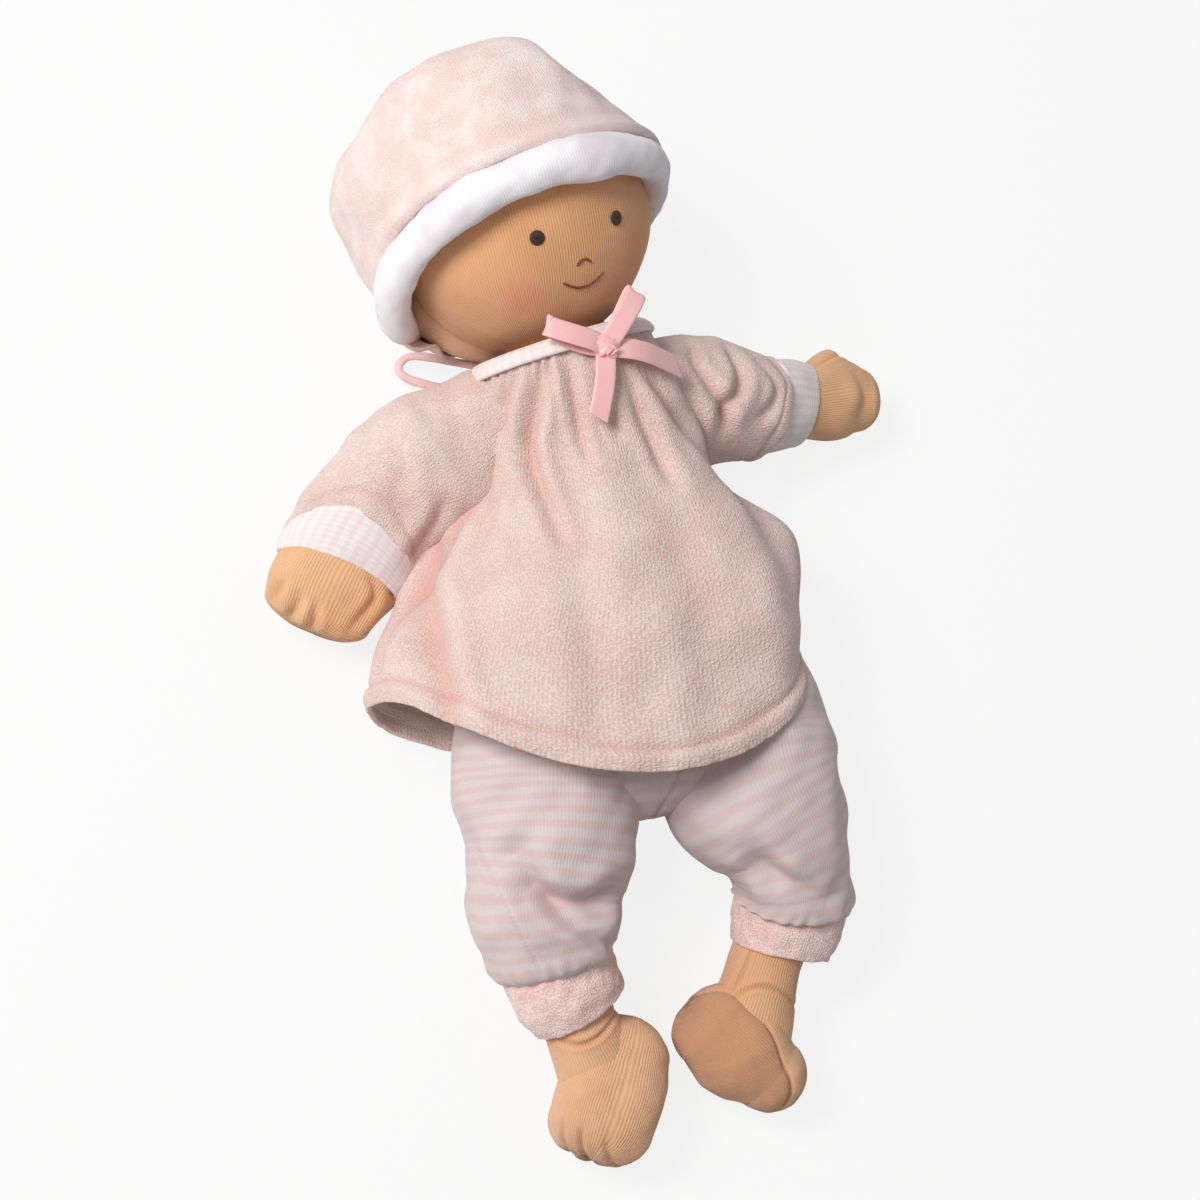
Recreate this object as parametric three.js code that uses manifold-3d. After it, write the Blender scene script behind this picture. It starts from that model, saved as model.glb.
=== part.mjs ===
// Cloth baby doll lying on its back: stuffed head, body, arms and legs in knit cloth,
// dressed in a velour hat and smock and in striped jersey trousers.
// Frame: +X is the doll's left, +Y runs towards its head, +Z is its front, in millimetres.
// The origin is on the surface it lies on, under the middle of its back.
import * as THREE from 'three';
import { mergeVertices } from 'three/addons/utils/BufferGeometryUtils.js';
import Module from 'manifold-3d';

const wasm = await Module();
wasm.setup();

// Cloth walls and the gaps between cloths
const skinWall = 0.9;
const velourWall = 1.4;
const jerseyWall = 1.0;
const bandWall = 1.8;
const touch = 0.3;
const fillRoom = 1.1;
const swing = 0.3;

// Body
const bodyLength = 134;
const bodyHalfWidth = 46;
const bodyHalfDepth = 32;
const bodyTop = 62;
const bodySeam = 33;
const neckRadius = 19;
const neckLength = 30;
const neckInHead = 9;

// Head, carried on the neck and turned about the neck's axis
const headRadius = 45;
const headHalfHeight = 48;
const headAbove = 51.5;
const neckPoint = new THREE.Vector3(-6.2, 82.9, 46.5);
const headTilt = 9;
const headNod = 6;
const faceTurn = 4.5;
const faceSeamBack = 12;

// Face
const eyeRadius = 2.5;
const eyeSpread = 20.4;
const eyeDrop = 16;
const noseWidth = 5.4;
const noseDrop = 26;
const noseSag = 1.6;
const mouthWidth = 15.5;
const mouthDrop = 31.2;
const mouthSag = 2.8;
const threadRadius = 0.5;

// Hat
const hatTilt = 15;
const brimDrop = 9.5;
const brimHalfTall = 7.5;
const brimHalfThick = 5.6;
const crownRadius = 55;
const crownHeight = 52;

// Arms
const shoulderAcross = 50;
const shoulderUp = 56;
const shoulderHeight = 29;
const sleeveRadius = 27;
const upperArm = 26;
const foreArm = 19.5;
const handLength = 27;
const wristRadius = 12;
const handHalfWidth = 16.5;
const handHalfDepth = 10;
const thumbRadius = 6;
const cuffGirth = 37.5;
const cuffHalfWidths = { right: 23, left: 19 };
const cuffLength = 10;

// Legs
const hipAcross = 33;
const hipUp = -58;
const hipHeight = 32.5;
const thighRadius = 30;
const thighLength = 40;
const shinLength = 41;
const ankleRadius = 12.3;
const trouserKnee = 27;
const trouserAnkle = 17.5;
const trouserCuff = 12;
const heelDrops = { right: 25, left: 31 };
const footLength = 49;
const footHalfWidth = 17.5;
const footHalfDepth = 15.5;
const soleDepth = 8;

// Smock
const neckline = 31;
const necklineDepth = 27;
const bindingTall = 4.2;
const smockHem = 86;
const hemShift = 12;
const smockFront = 80;
const smockDrop = 156;
const hemReach = 115;
const hemSlope = 0.2;
const foldDepth = 2;
const foldCount = 7;
const sideSeam = 22;

// Trousers
const waistUp = 2;
const waistbandTall = 9;

// Ribbon bow and the tie behind the neck
const ribbonWide = 7;
const ribbonWall = 0.8;
const knotSize = 9;
const loopLength = 20;
const tailLength = 24;
const tieWide = 3.4;
const tieReach = 17;

// How finely each kind of form is divided
const limbSides = 10;
const limbDomes = 3;
const armSocketSides = 24;
const hipSocketSides = 16;
const trunkSides = 12;
const headSides = 16;
const crownSides = 16;
const ringSides = 24;
const foldSides = 4;
const threadSteps = 6;

const far = 400;
const up = new THREE.Vector3(0, 0, 1);

// Each limb's stretches as [length, heading from +X in degrees, rise in degrees]
const armRoute = {
  right: [[upperArm, 205, -8], [foreArm, 220, -17], [handLength, 247, -8]],
  left: [[upperArm, 18, -7], [foreArm, -18, -18], [handLength, 7, -4]],
};
const legRoute = {
  right: [[thighLength, 251.6, 5.3], [shinLength, 282, -17], [heelDrops.right, 286, -10]],
  left: [[thighLength, 293, 10], [shinLength, 244, -22], [heelDrops.left, 236, -7]],
};
const footHeading = { right: 240.6, left: 317.5 };
const soleSide = {
  right: new THREE.Vector3(0.5, -0.35, -0.79),
  left: new THREE.Vector3(-0.7, -0.29, 0.65),
};

const finish = (color, roughness) => new THREE.MeshStandardMaterial({ color, roughness, metalness: 0 });
const knit = finish(0xd29a68, 0.95);
const filling = finish(0xf2efe8, 1);
const velour = finish(0xf0cfc9, 0.9);
const hatVelour = finish(0xf7e0da, 0.9);
const jersey = finish(0xeee4e8, 0.9);
const ribbon = finish(0xefb0b6, 0.4);
const thread = finish(0x5a3a2c, 0.8);
const lips = finish(0x9a5243, 0.8);

const radians = THREE.MathUtils.degToRad;

// A closed geometry as a solid that can be cut
function solid(geometry) {
  const bare = geometry.clone();
  bare.deleteAttribute('normal');
  bare.deleteAttribute('uv');
  const merged = mergeVertices(bare, 1e-4);
  const mesh = new wasm.Mesh({
    numProp: 3,
    vertProperties: new Float32Array(merged.attributes.position.array),
    triVerts: new Uint32Array(merged.index.array),
  });
  return new wasm.Manifold(mesh);
}

// The largest body of a cut solid, without loose crumbs
function whole(shape) {
  return shape.decompose().sort((a, b) => b.volume() - a.volume())[0];
}

function cutBy(shape, ...cutters) {
  return whole(cutters.reduce((left, cutter) => left.subtract(cutter), shape));
}

// Everything on the side of a plane that its normal points to
function beyond(point, normal) {
  const box = new THREE.BoxGeometry(far, far, far).translate(0, 0, far / 2);
  const turn = new THREE.Quaternion().setFromUnitVectors(up, normal.clone().normalize());
  box.applyQuaternion(turn).translate(point.x, point.y, point.z);
  return solid(box);
}

function above(height) {
  return beyond(new THREE.Vector3(0, 0, height), up);
}

// A round socket whose flats keep the radius, so that a ball in it turns freely
function socket(centre, radius, sides) {
  const flats = Math.cos(Math.PI / sides) ** 2;
  const sphere = new THREE.SphereGeometry(radius / flats, sides, sides / 2);
  sphere.translate(centre.x, centre.y, centre.z);
  return solid(sphere);
}

// The radius that fits inside a ball of flats with the same facets as a swelled form
function insideBall(radius) {
  return radius * Math.cos(Math.PI / limbSides) * Math.cos(Math.PI / 4 / (limbDomes + 1));
}

// A stuffed or draped form: oval sections along a spine, closed by a dome at each end.
// A stop is [point, half width, half depth]; grow moves the whole surface outwards.
function swell(stops, options) {
  const { grow = 0, domes, fold = null } = options;
  const { sides = limbSides, rings = stops.length - 1, domeRings = limbDomes } = options;
  const spine = new THREE.CatmullRomCurve3(stops.map((stop) => stop[0]), false, 'centripetal');
  const across = new THREE.SplineCurve(stops.map((stop) => new THREE.Vector2(stop[1], stop[2])));
  const count = stops.length - 1;
  const sections = [];
  const section = (t, size, shift) => {
    const forward = spine.getTangent(t);
    const deep = up.clone().addScaledVector(forward, -up.dot(forward)).normalize();
    const wide = deep.clone().cross(forward);
    const half = across.getPoint(t);
    const centre = spine.getPoint(t).addScaledVector(forward, shift);
    sections.push({ t, centre, wide, deep, a: (half.x + grow) * size, b: (half.y + grow) * size });
  };
  for (let i = 1; i <= domeRings; i += 1) {
    const angle = (Math.PI / 2) * (1 - i / (domeRings + 1));
    section(0, Math.cos(angle), -(domes[0] + grow) * Math.sin(angle));
  }
  for (let i = 0; i <= rings; i += 1) section(i / rings, 1, 0);
  for (let i = domeRings; i >= 1; i -= 1) {
    const angle = (Math.PI / 2) * (1 - i / (domeRings + 1));
    section(1, Math.cos(angle), (domes[1] + grow) * Math.sin(angle));
  }
  const points = [];
  sections.forEach(({ t, centre, wide, deep, a, b }) => {
    for (let j = 0; j < sides; j += 1) {
      const turn = (2 * Math.PI * j) / sides;
      const ripple = fold ? fold(turn, t * count) : 0;
      const point = centre.clone();
      point.addScaledVector(wide, (a + ripple) * Math.cos(turn));
      point.addScaledVector(deep, (b + ripple) * Math.sin(turn));
      points.push(point);
    }
  });
  const first = spine.getPoint(0).addScaledVector(spine.getTangent(0), -(domes[0] + grow));
  const last = spine.getPoint(1).addScaledVector(spine.getTangent(1), domes[1] + grow);
  const firstIndex = points.push(first) - 1;
  const lastIndex = points.push(last) - 1;
  const index = [];
  for (let j = 0; j < sides; j += 1) {
    const next = (j + 1) % sides;
    index.push(firstIndex, next, j);
    for (let i = 0; i < sections.length - 1; i += 1) {
      const low = i * sides;
      const high = low + sides;
      index.push(low + j, low + next, high + next, low + j, high + next, high + j);
    }
    const end = (sections.length - 1) * sides;
    index.push(lastIndex, end + j, end + next);
  }
  const geometry = new THREE.BufferGeometry().setFromPoints(points);
  geometry.setIndex(index);
  return solid(geometry);
}

// Points joined head to tail, each leg [length, heading from +X in degrees, rise in degrees]
function chain(start, ...legs) {
  const points = [start.clone()];
  legs.forEach(([length, heading, rise]) => {
    const flat = length * Math.cos(radians(rise));
    const step = new THREE.Vector3(
      flat * Math.cos(radians(heading)),
      flat * Math.sin(radians(heading)),
      length * Math.sin(radians(rise)),
    );
    points.push(points.at(-1).clone().add(step));
  });
  return points;
}

const between = (a, b, share) => a.clone().lerp(b, share);

// A stuffed knee bends in a curve that stays inside its corner
const softened = (start, corner, end) => between(corner, between(start, end, 0.5), 0.2);

const group = new THREE.Group();

// A body's group stands at its pivot, and its pieces are placed in it
function bodyAt(parent, pivot, origin = new THREE.Vector3()) {
  const body = new THREE.Group();
  body.position.copy(pivot).sub(origin);
  parent.add(body);
  return body;
}

function piece(name, shape, material, body, pivot) {
  const { vertProperties, triVerts } = whole(shape).getMesh();
  const geometry = new THREE.BufferGeometry();
  geometry.setAttribute('position', new THREE.BufferAttribute(new Float32Array(vertProperties), 3));
  geometry.setIndex(new THREE.BufferAttribute(new Uint32Array(triVerts), 1));
  geometry.translate(-pivot.x, -pivot.y, -pivot.z);
  geometry.computeVertexNormals();
  const mesh = new THREE.Mesh(geometry, material);
  mesh.name = name;
  body.add(mesh);
}

// The two halves of a shell, parted by a seam
function parted(shape, point, normal) {
  const half = touch / 2;
  const side = normal.clone().normalize();
  const front = shape.intersect(beyond(point.clone().addScaledVector(side, half), side));
  const back = shape.intersect(beyond(point.clone().addScaledVector(side, -half), side.clone().negate()));
  return [whole(front), whole(back)];
}

// Heights of the flat undersides, from the smock's back on the floor to the filling
const seatLevel = velourWall + touch;
const skinLevel = seatLevel + jerseyWall + touch;
const fillingLevel = skinLevel + skinWall + touch;

const onBothSides = (across, upwards, height) => ({
  right: new THREE.Vector3(-across, upwards, height),
  left: new THREE.Vector3(across, upwards, height),
});
const hips = onBothSides(hipAcross, hipUp, hipHeight);
const shoulders = onBothSides(shoulderAcross, shoulderUp, shoulderHeight);
const socketsAt = (places, radius, sides) => (
  Object.values(places).map((place) => socket(place, radius, sides))
);
const hipSockets = socketsAt(hips, thighRadius + swing, hipSocketSides);
const armSockets = socketsAt(shoulders, sleeveRadius + swing, armSocketSides);
const sockets = [...hipSockets, ...armSockets];

// Head frame: x to the doll's left, y up the neck's axis, z out of the face
const headTurn = new THREE.Matrix4()
  .makeRotationZ(radians(headTilt))
  .multiply(new THREE.Matrix4().makeRotationX(radians(headNod)))
  .multiply(new THREE.Matrix4().makeRotationY(radians(faceTurn)));
const neckAxis = new THREE.Vector3(0, 1, 0).transformDirection(headTurn);
const headCentre = neckPoint.clone().addScaledVector(neckAxis, headAbove);
const headPlace = headTurn.clone().setPosition(headCentre);
const hatPlace = headPlace.clone().multiply(new THREE.Matrix4().makeRotationX(radians(-hatTilt)));

// A level direction, from its heading in degrees
function headingOf(degrees) {
  return new THREE.Vector3(Math.cos(radians(degrees)), Math.sin(radians(degrees)), 0);
}

function neckStub(grow) {
  const radius = neckRadius + grow;
  const stub = new THREE.CylinderGeometry(radius, radius, neckLength + 2 * grow, trunkSides);
  stub.translate(0, neckInHead - headHalfHeight - neckLength / 2, 0);
  return solid(stub.applyMatrix4(headPlace));
}

function headForm(grow) {
  const form = new THREE.SphereGeometry(1, headSides, headSides / 2 + 2);
  form.scale(headRadius + grow, headHalfHeight + grow, headRadius + grow);
  return solid(form.applyMatrix4(headPlace));
}

// The body narrows to the neck, fills out over the belly and rounds off between the legs
function bodyForm(grow) {
  const station = (share, height, wide, deep) => [
    new THREE.Vector3(0, bodyTop - bodyLength * share, height),
    bodyHalfWidth * wide,
    bodyHalfDepth * deep,
  ];
  const stops = [
    station(0, 38, 0.52, 0.75),
    station(0.12, 36, 0.8, 0.92),
    station(0.35, 35, 0.9, 1),
    station(0.62, 37, 1, 1.08),
    station(0.88, 33, 0.88, 0.84),
  ];
  return swell(stops, { grow, domes: [8, 18], sides: trunkSides, domeRings: 2 });
}

function makeBody(root, pivot) {
  const outer = bodyForm(0).add(neckStub(0)).intersect(above(skinLevel));
  const inner = bodyForm(-skinWall).add(neckStub(-skinWall)).intersect(above(skinLevel + skinWall));
  const shell = cutBy(outer.subtract(inner), ...sockets);
  const [front, back] = parted(shell, new THREE.Vector3(0, 0, bodySeam), up);
  piece('body_front_panel', front, knit, root, pivot);
  piece('body_back_panel', back, knit, root, pivot);
  const inset = -skinWall - fillRoom;
  const fill = bodyForm(inset).add(neckStub(inset)).intersect(above(fillingLevel));
  piece('body_filling', cutBy(fill, ...sockets), filling, root, pivot);
}

// A spot on the face, from its angle round the head and its height, lifted off the cloth
function onFace(degrees, height, lift) {
  const ring = headRadius * Math.sqrt(1 - (height / headHalfHeight) ** 2);
  const [sine, cosine] = [Math.sin(radians(degrees)), Math.cos(radians(degrees))];
  const spot = new THREE.Vector3(ring * sine, height, ring * cosine);
  const normal = new THREE.Vector3(
    spot.x / headRadius ** 2,
    spot.y / headHalfHeight ** 2,
    spot.z / headRadius ** 2,
  ).normalize();
  return { spot: spot.addScaledVector(normal, lift), normal };
}

function eye(side) {
  const thick = 2 * threadRadius;
  const bead = new THREE.SphereGeometry(1, 10, 4).scale(eyeRadius, eyeRadius, thick);
  const { spot, normal } = onFace(side * eyeSpread, -eyeDrop, touch);
  bead.applyQuaternion(new THREE.Quaternion().setFromUnitVectors(up, normal));
  bead.translate(spot.x, spot.y, spot.z);
  return solid(bead.applyMatrix4(headPlace)).subtract(headForm(touch));
}

// A stitched line that sags in the middle, or lifts where the sag is negative
function stitched(width, drop, sag) {
  const ring = headRadius * Math.sqrt(1 - (drop / headHalfHeight) ** 2);
  const reach = THREE.MathUtils.radToDeg(width / 2 / ring);
  const points = [-1, -0.5, 0, 0.5, 1].map((share) => {
    const height = -drop - sag * (1 - share * share);
    return onFace(share * reach, height, touch).spot;
  });
  const section = new THREE.Shape().absarc(0, 0, threadRadius, 0, 2 * Math.PI);
  const line = new THREE.ExtrudeGeometry(section, {
    steps: threadSteps,
    curveSegments: 2,
    extrudePath: new THREE.CatmullRomCurve3(points),
  });
  return solid(line.applyMatrix4(headPlace)).subtract(headForm(touch));
}

function makeHead(head, pivot) {
  const neckHole = neckStub((neckRadius + swing) / Math.cos(Math.PI / trunkSides) - neckRadius);
  const shell = headForm(0).subtract(headForm(-skinWall)).subtract(neckHole);
  const forward = new THREE.Vector3(0, 0, 1).transformDirection(headPlace);
  const seam = headCentre.clone().addScaledVector(forward, -faceSeamBack);
  const [face, back] = parted(shell, seam, forward);
  piece('face_panel', face, knit, head, pivot);
  piece('head_back_panel', back, knit, head, pivot);
  piece('head_filling', headForm(-skinWall - fillRoom).subtract(neckHole), filling, head, pivot);
  piece('right_eye', eye(-1), thread, head, pivot);
  piece('left_eye', eye(1), thread, head, pivot);
  piece('nose_stitch', stitched(noseWidth, noseDrop + noseSag, -noseSag), lips, head, pivot);
  piece('mouth_stitch', stitched(mouthWidth, mouthDrop, mouthSag), lips, head, pivot);
}

function ringOf(radius, halfThick, halfTall, segments) {
  const profile = new THREE.Shape().absellipse(radius, 0, halfThick, halfTall, 0, 2 * Math.PI);
  return new THREE.LatheGeometry([...profile.getPoints(2), profile.getPoints(2)[0]], segments);
}

// A puffed crown over a turned-up roll; both lie flat on the surface behind the head
function makeHat(hat, pivot) {
  const rollRadius = headRadius + touch + brimHalfThick;
  const roll = ringOf(rollRadius, brimHalfThick, brimHalfTall, ringSides);
  roll.translate(0, -brimDrop, 0).applyMatrix4(hatPlace);
  piece('hat_brim_roll', solid(roll).intersect(above(0)), jersey, hat, pivot);

  const base = brimHalfTall - brimDrop + touch;
  const onAxis = (height) => new THREE.Vector3(0, height, 0).applyMatrix4(hatPlace);
  const puff = crownHeight - base;
  const stops = [
    [onAxis(base - 2), rollRadius + velourWall / 2, rollRadius + velourWall / 2],
    [onAxis(base + puff * 0.25), crownRadius, crownRadius],
    [onAxis(base + puff * 0.52), crownRadius * 0.98, crownRadius * 0.98],
    [onAxis(base + puff * 0.76), crownRadius * 0.8, crownRadius * 0.8],
  ];
  const crown = (grow) => swell(stops, { grow, domes: [4, puff * 0.24], sides: crownSides, domeRings: 2 });
  const outer = crown(0).intersect(above(0));
  const inner = crown(-velourWall).intersect(above(velourWall));
  const axis = onAxis(1).sub(onAxis(0));
  const shell = outer.subtract(inner).intersect(beyond(onAxis(base), axis));
  piece('hat_crown', shell, hatVelour, hat, pivot);
}

// An arm in its sleeve, closing into a mitten hand with a thumb
function armForm(points, grow) {
  const [shoulder, elbow, wrist, tip] = points;
  const root = insideBall(sleeveRadius - velourWall);
  const reach = shoulder.distanceTo(elbow) / 2;
  const slice = Math.sqrt(root * root - reach * reach);
  const stops = [
    [shoulder, root, root],
    [between(shoulder, elbow, 0.5), slice - touch, slice - touch],
    [softened(shoulder, elbow, wrist), wristRadius + 2, wristRadius + 1],
    [wrist, wristRadius, wristRadius - 1],
    [between(wrist, tip, 0.5), handHalfWidth, handHalfDepth],
    [between(wrist, tip, 0.75), handHalfWidth * 0.85, handHalfDepth * 0.9],
  ];
  const arm = swell(stops, { grow, domes: [root, handLength / 4] });
  const along = tip.clone().sub(wrist).normalize();
  const inward = up.clone().cross(along).normalize();
  const thumb = new THREE.SphereGeometry(1, 6, 5).scale(
    thumbRadius * 1.5 + grow,
    thumbRadius + grow,
    thumbRadius + grow,
  );
  thumb.rotateZ(Math.atan2(inward.y + along.y, inward.x + along.x));
  const seat = between(wrist, tip, 0.62).addScaledVector(inward, handHalfWidth * 0.92);
  return arm.add(solid(thumb.translate(seat.x, seat.y, seat.z)));
}

// The cuffs are equal bands; the one that lies flatter is wider and less deep
function sleeveForm(side, points, grow) {
  const [shoulder, elbow, wrist] = points;
  const cuffHalfWidth = cuffHalfWidths[side];
  const cuffHalfDepth = cuffGirth - cuffHalfWidth;
  const reach = shoulder.distanceTo(elbow) / 2;
  const slice = Math.sqrt(sleeveRadius ** 2 - reach ** 2);
  const stops = [
    [shoulder, sleeveRadius, sleeveRadius],
    [between(shoulder, elbow, 0.5), slice - 0.5, slice - 0.5],
    [elbow, cuffHalfWidth * 0.93, Math.min(cuffHalfDepth * 1.1, slice * 0.75)],
    [between(elbow, wrist, 0.5), cuffHalfWidth * 1.04, cuffHalfDepth * 1.1],
    [wrist, cuffHalfWidth, cuffHalfDepth],
  ];
  return swell(stops, { grow, domes: [sleeveRadius, 3] });
}

// A piece of a tube between two planes across it
function stretch(shape, from, to, direction) {
  const kept = shape.intersect(beyond(from, direction));
  return kept.intersect(beyond(to, direction.clone().negate()));
}

function makeArm(side, arm, pivot) {
  const points = chain(pivot, ...armRoute[side]);
  const [shoulder, elbow, wrist, tip] = points;
  const reach = tip.clone().sub(shoulder).normalize();
  const across = reach.clone().cross(up).normalize();
  const seamNormal = across.clone().cross(reach);
  const shell = armForm(points, 0).subtract(armForm(points, -skinWall));
  const [front, back] = parted(shell, shoulder, seamNormal);
  piece(`${side}_arm_front_panel`, front, knit, arm, pivot);
  piece(`${side}_arm_back_panel`, back, knit, arm, pivot);
  piece(`${side}_arm_filling`, armForm(points, -skinWall - fillRoom), filling, arm, pivot);

  const outward = elbow.clone().sub(shoulder).normalize();
  const rootPlane = shoulder.clone().addScaledVector(outward, -sleeveRadius / 3);
  const end = wrist.clone().sub(elbow).normalize();
  const cuffStart = wrist.clone().addScaledVector(end, -cuffLength);
  const sleeveEnd = beyond(cuffStart.clone().addScaledVector(end, -touch), end.clone().negate());
  const grown = (grow) => sleeveForm(side, points, grow);
  const tube = (outside, inside) => grown(outside).subtract(grown(inside));
  const cloth = tube(0, -velourWall).intersect(beyond(rootPlane, outward)).intersect(sleeveEnd);
  piece(`${side}_sleeve`, cloth, velour, arm, pivot);
  const band = tube(bandWall / 4, (-bandWall * 3) / 4);
  piece(`${side}_sleeve_cuff`, stretch(band, cuffStart, wrist, end), jersey, arm, pivot);
}

// A leg bent at the knee, ending in a puffy foot that points its own way
function legForm(side, points, grow) {
  const [hip, knee, ankle, footCentre] = points;
  const root = insideBall(thighRadius - jerseyWall);
  const stops = [
    [hip, root, root],
    [between(hip, knee, 0.35), root * 0.85, root * 0.85],
    [softened(hip, knee, ankle), ankleRadius + 4, ankleRadius + 3],
    [between(knee, ankle, 0.5), ankleRadius + 2, ankleRadius + 1],
    [ankle, ankleRadius, ankleRadius],
    [footCentre, ankleRadius, ankleRadius - 1],
  ];
  const leg = swell(stops, { grow, domes: [root, 5] });
  const along = headingOf(footHeading[side]);
  const reach = footLength / 4;
  const foot = swell([
    [footCentre.clone().addScaledVector(along, -reach), footHalfWidth * 0.86, footHalfDepth * 0.9],
    [footCentre, footHalfWidth, footHalfDepth],
    [footCentre.clone().addScaledVector(along, reach), footHalfWidth * 1.03, footHalfDepth * 0.94],
  ], { grow, domes: [reach, reach] });
  return leg.add(foot);
}

// The trouser leg bags at the knee and is drawn in to its cuff
function trouserForm(points, grow) {
  const [hip, knee, ankle] = points;
  const [thigh, calf] = [0.35, 0.68];
  const reach = hip.distanceTo(knee) * thigh;
  const slice = Math.sqrt(thighRadius ** 2 - reach ** 2);
  const stops = [
    [hip, thighRadius, thighRadius],
    [between(hip, knee, thigh), slice + 0.5, slice],
    [between(hip, knee, calf), trouserKnee + 1, (slice + trouserKnee) / 2 - 2],
    [softened(hip, knee, ankle), trouserKnee, trouserKnee - 4.5],
    [between(knee, ankle, 0.5), (trouserKnee + trouserAnkle) / 2, trouserAnkle],
    [ankle, trouserAnkle, trouserAnkle - 3],
  ];
  return swell(stops, { grow, domes: [thighRadius, 3] });
}

function makeLeg(side, leg, pivot) {
  const points = chain(pivot, ...legRoute[side]);
  const [hip, knee, ankle, footCentre] = points;
  const shell = legForm(side, points, 0).subtract(legForm(side, points, -skinWall));
  const down = ankle.clone().sub(knee).normalize();
  const ankleSeam = ankle.clone().addScaledVector(down, 3);
  const [foot, skin] = parted(shell, ankleSeam, down);
  piece(`${side}_leg_skin`, skin, knit, leg, pivot);
  const sole = soleSide[side].clone().normalize();
  const soleSeam = footCentre.clone().addScaledVector(sole, footHalfDepth - soleDepth);
  const [solePanel, upper] = parted(foot, soleSeam, sole);
  piece(`${side}_foot_upper`, upper, knit, leg, pivot);
  piece(`${side}_foot_sole`, solePanel, knit, leg, pivot);
  piece(`${side}_leg_filling`, legForm(side, points, -skinWall - fillRoom), filling, leg, pivot);

  const outward = knee.clone().sub(hip).normalize();
  const rootPlane = hip.clone().addScaledVector(outward, -thighRadius / 4);
  const cuffStart = ankle.clone().addScaledVector(down, -trouserCuff);
  const trouserEnd = beyond(cuffStart.clone().addScaledVector(down, -touch), down.clone().negate());
  const tube = (outside, inside) => trouserForm(points, outside).subtract(trouserForm(points, inside));
  const cloth = tube(0, -jerseyWall).intersect(beyond(rootPlane, outward)).intersect(trouserEnd);
  piece(`${side}_trouser_leg`, cloth, jersey, leg, pivot);
  const band = tube(bandWall / 4, (-bandWall * 3) / 4);
  piece(`${side}_trouser_cuff`, stretch(band, cuffStart, ankle, down), velour, leg, pivot);
}

// The seat's two halves meet at the crotch seam, under the waistband
function makeSeat(root, pivot) {
  const cover = bodyForm(touch + jerseyWall).intersect(above(seatLevel));
  const room = bodyForm(touch).intersect(above(seatLevel + jerseyWall));
  const below = beyond(new THREE.Vector3(0, waistUp, 0), new THREE.Vector3(0, -1, 0));
  const cloth = cutBy(cover.subtract(room).intersect(below), ...sockets);
  const [left, right] = parted(cloth, new THREE.Vector3(), new THREE.Vector3(1, 0, 0));
  piece('left_trouser_seat', left, jersey, root, pivot);
  piece('right_trouser_seat', right, jersey, root, pivot);
  const band = bodyForm(touch + bandWall).intersect(above(seatLevel)).subtract(bodyForm(touch));
  const bottom = new THREE.Vector3(0, waistUp + touch, 0);
  const top = new THREE.Vector3(0, waistUp + waistbandTall, 0);
  piece('trouser_waistband', stretch(band, bottom, top, new THREE.Vector3(0, 1, 0)), jersey, root, pivot);
}

const collar = neckPoint.clone().addScaledVector(neckAxis, 4);

function bindingForm(grow) {
  const ring = ringOf(neckline, bandWall * 0.8 + grow, bindingTall / 2 + grow, ringSides);
  ring.scale(1, 1, necklineDepth / neckline).translate(0, 4 - headAbove, 0);
  return solid(ring.applyMatrix4(headPlace));
}

// The smock flares from the neckline; its cloth falls in folds that deepen towards the hem
function smockForm(grow) {
  const middle = smockFront / 2;
  const at = (x, y, z) => new THREE.Vector3(x, y, z);
  const stops = [
    [neckPoint.clone().addScaledVector(neckAxis, 14), neckline, necklineDepth],
    [neckPoint, neckline + 0.5, necklineDepth + 0.5],
    [at(-2, bodyTop + 4, middle - 2), neckline + 8, middle - 5.5],
    [at(0, bodyTop - smockDrop * 0.08, middle - 6), smockHem * 0.52, middle - 4],
    [at(0, bodyTop - smockDrop * 0.28, middle - 3), smockHem * 0.66, middle - 1],
    [at(-hemShift * 0.6, bodyTop - smockDrop * 0.54, middle - 2), smockHem * 0.87, middle + 2],
    [at(-hemShift, bodyTop - smockDrop * 0.82, middle - 2), smockHem, middle + 2],
    [at(-hemShift, bodyTop - smockDrop, middle - 2), smockHem * 1.07, middle + 2],
  ];
  const fold = (turn, station) => {
    const share = THREE.MathUtils.smoothstep(station, 1.5, 6);
    return foldDepth * share * Math.cos(foldCount * turn);
  };
  return swell(stops, { grow, domes: [6, 6], sides: foldCount * foldSides, domeRings: 1, fold });
}

function makeSmock(root, pivot) {
  const outer = smockForm(0).intersect(above(0));
  const inner = smockForm(-velourWall).intersect(above(velourWall));
  const circle = new THREE.CylinderGeometry(hemReach, hemReach, far, 2 * ringSides).rotateX(Math.PI / 2);
  circle.rotateX(Math.atan(hemSlope)).translate(0, bodyTop + 8, 0);
  const top = collar.clone().addScaledVector(neckAxis, -bindingTall / 2 - touch);
  const cloth = outer.subtract(inner).intersect(solid(circle));
  const shell = cutBy(cloth.intersect(beyond(top, neckAxis.clone().negate())), ...armSockets);
  const [front, back] = parted(shell, new THREE.Vector3(0, 0, sideSeam), up);
  piece('smock_front', front, velour, root, pivot);
  piece('smock_back', back, velour, root, pivot);
  piece('neck_binding', bindingForm(0), jersey, root, pivot);
}

// A flat length of ribbon from one point to another
function strip(from, to) {
  const along = to.clone().sub(from);
  const flat = new THREE.BoxGeometry(along.length(), ribbonWide, ribbonWall);
  const wide = up.clone().cross(along).normalize();
  const normal = along.clone().normalize().cross(wide);
  const turn = new THREE.Matrix4().makeBasis(along.clone().normalize(), wide, normal);
  const middle = between(from, to, 0.5);
  return solid(flat.applyMatrix4(turn).translate(middle.x, middle.y, middle.z));
}

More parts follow.
